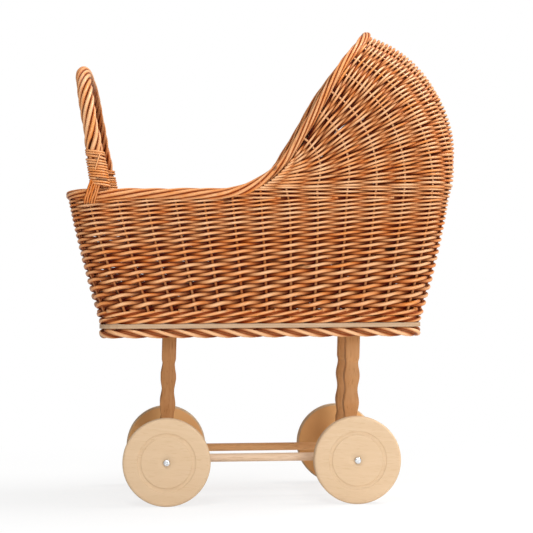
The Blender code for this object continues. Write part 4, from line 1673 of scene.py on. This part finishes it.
@dataclass(frozen=True)
class WillowFinish:
    """Peeled willow under a warm, glossy varnish, with painted shade in its crevices and deep in the weave.
    """

    name: str
    dark: Colour = (0.47, 0.130, 0.020)
    middle: Colour = (0.78, 0.29, 0.064)
    light: Colour = (0.85, 0.51, 0.275)
    # The next two colours are painted shade, multiplied in deep in the weave and along the rods' sides where
    # they touch.
    painted_gap_shade: Colour = (0.12, 0.014, 0.002)
    crevice: Colour = (0.26, 0.062, 0.012)
    knot: Colour = (0.07, 0.025, 0.01)
    shift: float = 0.0
    roughness: float = 0.40
    coat: float = 0.28
    streak: float = 0.62
    patch: float = 0.52
    tone: float = 0.28
    ends: tuple[float, float] = (0.12, 0.88)

    def build(self, streaks: bpy.types.NodeTree) -> Material:
        """The material; it follows the rods by their map rod and attributes tone and depth.

        Streaks, patches and each rod's tone add up to a place on the scale of colours. Crevices and
        depth in the weave get painted shade: there the colour is made richer and darker, and the coat
        fades out as its reflections would in shade.

        Args:
            streaks: the group of a rod's marks.

        Returns:
            The finished material.
        """
        nodes = Surface(self.name)
        uv = nodes.add("ShaderNodeUVMap", uv_map="rod").outputs[0]
        around, along, _ = nodes.add("ShaderNodeSeparateXYZ", {0: uv}).outputs
        tone = nodes.add("ShaderNodeAttribute", attribute_name="tone").outputs["Fac"]
        depth = nodes.add("ShaderNodeAttribute", attribute_name="depth").outputs["Fac"]
        inputs = {"Around": around, "Along": along, "Tone": tone}
        streak, patch, fibre, knot, crevice = nodes.group(streaks, inputs)
        value = nodes.scaled(streak, self.streak, self.shift - 0.20)
        value = nodes.math("ADD", value, nodes.times(patch, self.patch))
        value = nodes.math("ADD", value, nodes.times(tone, self.tone))
        ramp = nodes.add("ShaderNodeValToRGB", {0: value})
        elements = ramp.color_ramp.elements
        for element, place, colour in zip(elements, self.ends, (self.dark, self.light)):
            element.position, element.color = place, rgba(colour)
        elements.new(0.5).color = rgba(self.middle)
        colour = nodes.mix(nodes.times(fibre, 0.16), ramp.outputs[0], self.dark)
        colour = nodes.mix(nodes.times(knot, 0.75), colour, self.knot)
        # Painted shade: in crevices and deep in the weave the colour gets richer and darker.
        richer = nodes.scaled(nodes.math("ADD", depth, nodes.times(crevice, 0.6)), 0.9, 1.0)
        colour = nodes.add("ShaderNodeGamma", {0: colour, 1: richer}).outputs[0]
        colour = nodes.mix(crevice, colour, self.crevice, "MULTIPLY")
        colour = nodes.mix(nodes.math("POWER", depth, 1.5), colour, self.painted_gap_shade, "MULTIPLY")
        # The coat fades out in the painted shade, as its reflections would in shade.
        bare = nodes.times(nodes.math("ADD", depth, crevice), 0.8)
        return nodes.finish(
            nodes.math("ADD", nodes.times(fibre, 0.6), nodes.times(streak, 0.5)),
            strength=0.35,
            distance=0.0004,
            base_color=colour,
            roughness=nodes.remap(
                streak, 0.2, 0.8, to_low=self.roughness + 0.08, to_high=self.roughness - 0.06
            ),
            coat_weight=nodes.remap(bare, 0.0, 0.7, to_low=self.coat, to_high=0.0),
            coat_roughness=0.18,
            specular_ior_level=0.06,
        )


@dataclass(frozen=True)
class WoodFinish:
    """Planed beech, oiled or bare, with its grain along a chosen direction."""

    name: str
    base: Colour
    dark: Colour
    fleck: Colour
    scale: tuple[float, float, float]
    turn: tuple[float, float, float] = (0.0, 0.0, 0.0)
    roughness: float = 0.52
    coat: float = 0.12
    band: float = 0.35
    # inner: a warmer colour painted on the faces nearer the middle than inner_y, as painted shade with light
    # bounced from the basket.
    inner: Colour | None = None
    inner_y: float = 0.1088
    inner_fade: float = 0.0002

    def build(self, grain: bpy.types.NodeTree) -> Material:
        """The material, which reads Object coordinates; faces within the inner distance can get a warm
        painted shade with bounced light.

        Args:
            grain: the group of the wood's figure.

        Returns:
            The finished material.
        """
        nodes = Surface(self.name)
        place = nodes.object_place()
        sizes = tuple(1 / size for size in self.scale)
        inputs = {"Vector": place, "Rotation": self.turn, "Scale": sizes}
        mapping = nodes.add("ShaderNodeMapping", inputs, vector_type="TEXTURE")
        band, fibre, fleck = nodes.group(grain, {"Vector": mapping.outputs[0]})
        colour = nodes.mix(nodes.times(band, self.band), self.base, self.dark)
        colour = nodes.mix(nodes.remap(fibre, 0.35, 0.75, to_low=0.0, to_high=0.45), colour, self.dark)
        colour = nodes.mix(nodes.times(fleck, 0.45), colour, self.fleck)
        # Painted shade and bounced light on the inner faces.
        if self.inner:
            away = nodes.math("ABSOLUTE", nodes.add("ShaderNodeSeparateXYZ", {0: place}).outputs[1])
            low, high = self.inner_y - self.inner_fade, self.inner_y + self.inner_fade
            inside = nodes.remap(away, low, high, to_low=1.0, to_high=0.0)
            colour = nodes.mix(inside, colour, self.inner)
        return nodes.finish(
            fibre,
            strength=0.16,
            distance=0.0003,
            base_color=colour,
            roughness=nodes.remap(
                fibre, 0.2, 0.8, to_low=self.roughness - 0.05, to_high=self.roughness + 0.08
            ),
            coat_weight=self.coat,
            coat_roughness=0.35,
            specular_ior_level=0.0,
        )


@dataclass(frozen=True)
class PlywoodFinish:
    """Birch plywood: thin veneers that show as light and dark lines along the board's edge."""

    name: str = "birch_plywood_layers"
    bottom: float = 0.210947
    thickness: float = 0.005
    layers: int = 5
    light: Colour = (0.60, 0.43, 0.29)
    dark: Colour = (0.36, 0.20, 0.09)
    scale: tuple[float, float, float] = (22.0, 240.0, 900.0)

    def build(self, grain: bpy.types.NodeTree) -> Material:
        """The material: a square wave of the height marks the veneers, crossed by the wood's grain.

        Args:
            grain: the group of the wood's figure.

        Returns:
            The finished material.
        """
        nodes = Surface(self.name)
        place = nodes.object_place()
        mapping = nodes.add("ShaderNodeMapping", {"Vector": place, "Scale": self.scale})
        _, fibre, _ = nodes.group(grain, {"Vector": mapping.outputs[0]})
        height = nodes.add("ShaderNodeSeparateXYZ", {0: place}).outputs[2]
        share = nodes.math("DIVIDE", nodes.math("SUBTRACT", height, self.bottom), self.thickness)
        wave = nodes.math("COSINE", nodes.times(share, math.pi * (self.layers + 1)))
        across = nodes.times(nodes.math("SUBTRACT", 1.0, nodes.remap(wave, -0.35, 0.35)), 0.85)
        colour = nodes.mix(across, self.light, self.dark)
        colour = nodes.mix(nodes.remap(fibre, 0.35, 0.8, to_low=0.0, to_high=0.5), colour, self.dark)
        rough = nodes.remap(fibre, 0.2, 0.8, to_low=0.5, to_high=0.66)
        return nodes.finish(fibre, strength=0.2, distance=0.0003, base_color=colour, roughness=rough)


@dataclass(frozen=True)
class ZincFinish:
    """Bright zinc plating with a faint cloudiness."""

    name: str = "zinc_plating"
    colour: Colour = (0.70, 0.72, 0.74)
    cloud: Colour = (0.56, 0.58, 0.60)
    roughness: float = 0.26

    def build(self) -> Material:
        """The material, which reads Object coordinates.

        Returns:
            The finished material.
        """
        nodes = Surface(self.name)
        cloud = nodes.noise(nodes.object_place(), 420.0, detail=3.0)
        nodes.dress(
            base_color=nodes.mix(nodes.remap(cloud, 0.4, 0.7), self.colour, self.cloud),
            roughness=nodes.remap(
                cloud, 0.3, 0.7, to_low=self.roughness - 0.05, to_high=self.roughness + 0.1
            ),
            metallic=1.0,
        )
        return nodes.material


@dataclass
class Studio:
    """The pale floor, the soft lights and the camera at the photograph's viewing angle."""

    camera_place: tuple[float, float, float] = (-0.1238, -2.032, 0.2445)
    camera_yaw: float = math.radians(-3.78)
    camera_pitch: float = math.radians(91.187)
    camera_roll: float = math.radians(-0.374)
    lens: float = 108.36
    floor_half: float = 6.0
    floor_colour: Colour = (0.90, 0.895, 0.885)
    aim: tuple[float, float, float] = (0.0, 0.0, 0.28)
    world_light: float = 0.25
    glossy_light: float = 0.4

    def rays(self, nodes: Nodes) -> Socket:
        """How white the surround looks: 1 to the camera's rays, the glossy level to reflections' rays.

        Args:
            nodes: the tree that gets the nodes.

        Returns:
            The level.
        """
        seen = nodes.add("ShaderNodeLightPath").outputs
        glossy = nodes.times(seen["Is Glossy Ray"], self.glossy_light)
        return nodes.math("MAXIMUM", seen["Is Camera Ray"], glossy)

    def floor(self) -> None:
        """The floor: pale near the pram, where it keeps the shadow, and white further away for the camera."""
        size = self.floor_half
        corners = [(-size, -size, 0), (size, -size, 0), (size, size, 0), (-size, size, 0)]
        mesh = bpy.data.meshes.new("studio_floor")
        mesh.from_pydata(corners, [], [(0, 1, 2, 3)])
        nodes = Surface("studio_floor")
        nodes.dress(base_color=rgba(self.floor_colour), roughness=0.9, specular_ior_level=0.1)
        inputs = {0: nodes.object_place()}
        away = nodes.add("ShaderNodeVectorMath", inputs, operation="LENGTH").outputs["Value"]
        far = nodes.remap(away, low=0.25, high=0.75, to_low=0.80, to_high=1.0)
        white = nodes.add("ShaderNodeEmission", {"Color": (1, 1, 1, 1), "Strength": 1.0}).outputs[0]
        inputs = {0: nodes.times(far, self.rays(nodes)), 1: nodes.shader.outputs[0], 2: white}
        mixed = nodes.add("ShaderNodeMixShader", inputs)
        nodes.feed(nodes.tree.nodes["Material Output"], "Surface", mixed.outputs[0])
        mesh.materials.append(nodes.material)
        floor = linked("studio_floor", mesh)

    def world(self) -> None:
        """An even surround that lights softly, looks white to the camera and paler in reflections."""
        world = bpy.data.worlds.new("studio")
        bpy.context.scene.world = world
        world.use_nodes = True
        nodes = Nodes(world.node_tree)
        background = world.node_tree.nodes["Background"]
        nodes.feed(background, "Color", (1, 1, 1, 1))
        nodes.feed(background, "Strength", nodes.remap(self.rays(nodes), 0.0, 1.0, to_low=self.world_light))

    def lamp(self, name: str, place: tuple, power: float, size: float) -> None:
        """One soft square lamp, aimed at the middle of the pram.

        Args:
            name: the lamp's name.
            place: where it stands.
            power: its power in watts.
            size: its width.
        """
        light = bpy.data.lights.new(name, "AREA")
        light.energy, light.size = power, size
        turn = (Vector(self.aim) - Vector(place)).to_track_quat("-Z", "Y").to_matrix().to_4x4()
        linked(name, light).matrix_world = Matrix.Translation(place) @ turn

    def camera(self) -> None:
        """The camera, placed so that the pram fills the photograph's frame as in the photograph."""
        camera = bpy.data.cameras.new("photograph_view")
        camera.lens, camera.sensor_width = self.lens, 36.0
        turn = Matrix.Rotation(self.camera_yaw, 4, "Z") @ Matrix.Rotation(self.camera_pitch, 4, "X")
        turn = turn @ Matrix.Rotation(self.camera_roll, 4, "Z")
        holder = linked("photograph_view", camera)
        holder.matrix_world = Matrix.Translation(self.camera_place) @ turn
        bpy.context.scene.camera = holder

    def build(self) -> None:
        """Everything round the pram."""
        self.floor()
        self.world()
        self.lamp("key", (-0.6, -1.9, 2.5), power=30.0, size=0.8)
        self.lamp("fill", (0.7, -2.4, 0.6), power=26.0, size=1.2)
        self.lamp("top", (1.3, 0.1, 2.1), power=56.0, size=1.2)
        self.camera()
        bpy.context.scene.view_settings.view_transform = "Standard"


@dataclass
class Pram:
    """The whole pram: every new piece, what it stands for, what it rides on and its finish."""

    nodes: dict[str, Piece]
    form: BasketForm = field(default_factory=BasketForm)
    timber: Timber = field(default_factory=Timber)
    screw_gap: float = 0.0003
    pieces: int = 0

    def settle(
        self, piece: Piece, material: Material, slot: Slot, *stands_for: str, body: str = BODY
    ) -> None:
        """Dresses a piece, puts it on its body and says which CAD nodes it stands for.

        Args:
            piece: the new piece.
            material: its material.
            slot: the piece's material slot; not used.
            stands_for: names of the CAD nodes that it replaces.
            body: name of the CAD body that it rides on.
        """
        piece.data.materials.clear()
        piece.data.materials.append(material)
        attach(piece, body)
        if stands_for:
            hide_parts(*stands_for)
        self.pieces += 1
        faces = len(piece.data.polygons)
        LOG.info("%s: %d faces, stands for %s", piece.name, faces, ", ".join(stands_for) or "-")

    def keep(self, name: str, material: Material) -> None:
        """Gives a CAD node that stays a better material.

        Args:
            name: the node's name.
            material: its new material.
        """
        mesh = self.nodes[name].data
        if not mesh.materials:
            mesh.materials.append(material)
        for number in range(len(mesh.materials)):
            mesh.materials[number] = material

    def basket(self, weave: Material, ropes_willow: Material, border_willow: Material) -> None:
        """The woven cot and hood, the ropes, the border and the handle.

        Args:
            weave: the willow of the cot's and the hood's rods.
            ropes_willow: the willow of the wales, the rim, the bindings and the ties.
            border_willow: the willow of the foot border and the handle.
        """
        cot = CotWeave(self.form)
        for piece in cot.weavers():
            self.settle(piece, weave, Slot.WILLOW, "cot_weave")
        hood = HoodWeave(self.form, cot)
        for piece in hood.weavers():
            self.settle(piece, weave, Slot.WILLOW, "hood_weave")
        self.settle(hood.all_stakes(), weave, Slot.WILLOW)
        ropes = Ropes(self.form, cot.stakes)
        for rope in ropes.ropes:
            willow = border_willow if "border" in rope.node else ropes_willow
            self.settle(ropes.ring(rope), willow, Slot.WILLOW, rope.node)
        self.settle(RimBorder(self.form).build(), ropes_willow, Slot.WILLOW, "rim_border")
        handle = Handle(self.form)
        self.settle(handle.bow(), border_willow, Slot.WILLOW, "handle_bow")
        for side in Side:
            self.settle(handle.binding(side), ropes_willow, Slot.WILLOW, f"handle_binding_{side.label}")
            self.settle(handle.ties(side), ropes_willow, Slot.WILLOW, f"handle_saddle_{side.label}")

    def undercarriage(self, grain: bpy.types.NodeTree) -> None:
        """The wheels, legs, beams and rails, and their woods.

        Args:
            grain: the group of the wood's figure.
        """
        timber = self.timber
        along, across, upright = (26.0, 320.0, 320.0), (320.0, 26.0, 320.0), (320.0, 320.0, 26.0)
        warm = {"base": (0.57, 0.30, 0.13), "dark": (0.46, 0.205, 0.078), "fleck": (0.33, 0.14, 0.05)}
        shaded_brown = {"base": (0.48, 0.238, 0.097), "dark": (0.38, 0.16, 0.056), "fleck": (0.27, 0.11, 0.036)}
        light = {"base": (0.78, 0.59, 0.43), "dark": (0.69, 0.47, 0.30), "fleck": (0.50, 0.31, 0.17)}
        shaded_amber = {"base": (0.82, 0.47, 0.23), "dark": (0.72, 0.38, 0.16), "fleck": (0.52, 0.25, 0.10)}
        pale = {"base": (0.65, 0.475, 0.31), "dark": (0.60, 0.425, 0.262), "fleck": (0.55, 0.375, 0.22)}
        # The wheels' inner faces get a warm painted shade with bounced light.
        pale |= {"scale": (34.0, 300.0, 330.0), "inner": (0.80, 0.445, 0.185)}
        wheel_woods = {
            Side.LEFT: WoodFinish("beech_wheel_1", **pale, turn=(0, -0.14, 0)).build(grain),
            Side.RIGHT: WoodFinish("beech_wheel_2", **pale, turn=(0, 0.07, 0)).build(grain),
        }
        # The rear legs get a darker copy of the front legs' beech: painted shade.
        leg_woods = {
            End.FRONT: WoodFinish("beech_leg_warm", **warm, scale=upright).build(grain),
            End.REAR: WoodFinish("beech_leg_brown", **shaded_brown, scale=upright).build(grain),
        }
        beam_wood = WoodFinish("beech_beams", **warm, scale=across).build(grain)
        # The far rail gets a darker, warmer copy of the rails' beech: painted shade.
        rail_woods = {
            Side.RIGHT: WoodFinish("beech_rail_light", **light, scale=along).build(grain),
            Side.LEFT: WoodFinish("beech_rail_shaded_amber", **shaded_amber, scale=along).build(grain),
        }
        for end, side in CORNERS:
            label = f"{end.label}_{side.label}"
            wheel, wood = timber.wheel(end, side), wheel_woods[side]
            self.settle(wheel, wood, Slot.PALE_BEECH, f"wheel_{label}", body=f"{label}_wheel")
            self.settle(timber.leg(end, side), leg_woods[end], Slot.BEECH, f"leg_{label}")
        for end in End:
            self.settle(timber.cross_beam(end), beam_wood, Slot.BEECH, f"beam_{end.label}")
        for side in Side:
            self.settle(timber.rail(side), rail_woods[side], Slot.BEECH, f"rail_{side.label}")

    def screws(self, zinc: Material) -> None:
        """The screws of wheels, legs and board, and the washers' finish.

        Args:
            zinc: their finish.
        """
        timber = self.timber
        kinds = {
            "wheel": Screw(length=0.0381),
            "foot": Screw(tall=0.0022, shank=0.004, length=0.0406),
            "board": Screw(tall=0.0022, shank=0.004, length=0.0253, sunk=True),
        }
        out = timber.track / 2 + timber.wheel_thickness / 2 + self.screw_gap
        under = timber.axle_height - timber.beam[2] / 2 - self.screw_gap
        for end, side in CORNERS:
            label = f"{end.label}_{side.label}"
            x, y = timber.wheel_x(end), side.value * timber.leg_spacing / 2
            turn = 0.35 + 0.9 * end.value + 0.4 * side.value
            seats = {
                "wheel": ((x, side.value * out, timber.axle_height), point(0, side.value, 0), turn),
                "foot": ((x, y, under), point(0, 0, -1), turn + 0.5),
                "board": ((x + timber.leg_top_offset, y, self.form.board_top), point(0, 0, 1), turn + 1.1),
            }
            for kind, seat in seats.items():
                screw = kinds[kind].build(f"{kind}_screw_cross_{label}", *seat)
                self.settle(screw, zinc, Slot.ZINC, f"{kind}_screw_{label}")
            self.keep(f"washer_{label}", zinc)

    def build(self) -> None:
        """Makes each sub-assembly in order, with its finishes."""
        streaks, grain = rod_streaks_group(), wood_grain_group()
        # The three willows are copies of one finish, lighter or darker by their shift, which paint the
        # difference in light between the weave, the ropes and the border.
        shifts = {"willow_weave": 0.26, "willow_ropes": 0.17, "willow_border": 0.28}
        self.basket(*(WillowFinish(name, shift=shift).build(streaks) for name, shift in shifts.items()))
        self.undercarriage(grain)
        self.screws(ZincFinish().build())
        self.keep("base_board", PlywoodFinish().build(grain))


def main() -> None:
    """Loads the frame, builds the studio and the pram, and logs how many pieces were made."""
    logging.basicConfig(level=logging.INFO, format="%(name)s: %(message)s")
    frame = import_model()
    Studio().build()
    pram = Pram(frame["nodes"])
    pram.build()
    LOG.info("%d pieces made", pram.pieces)


if __name__ == "__main__":
    main()
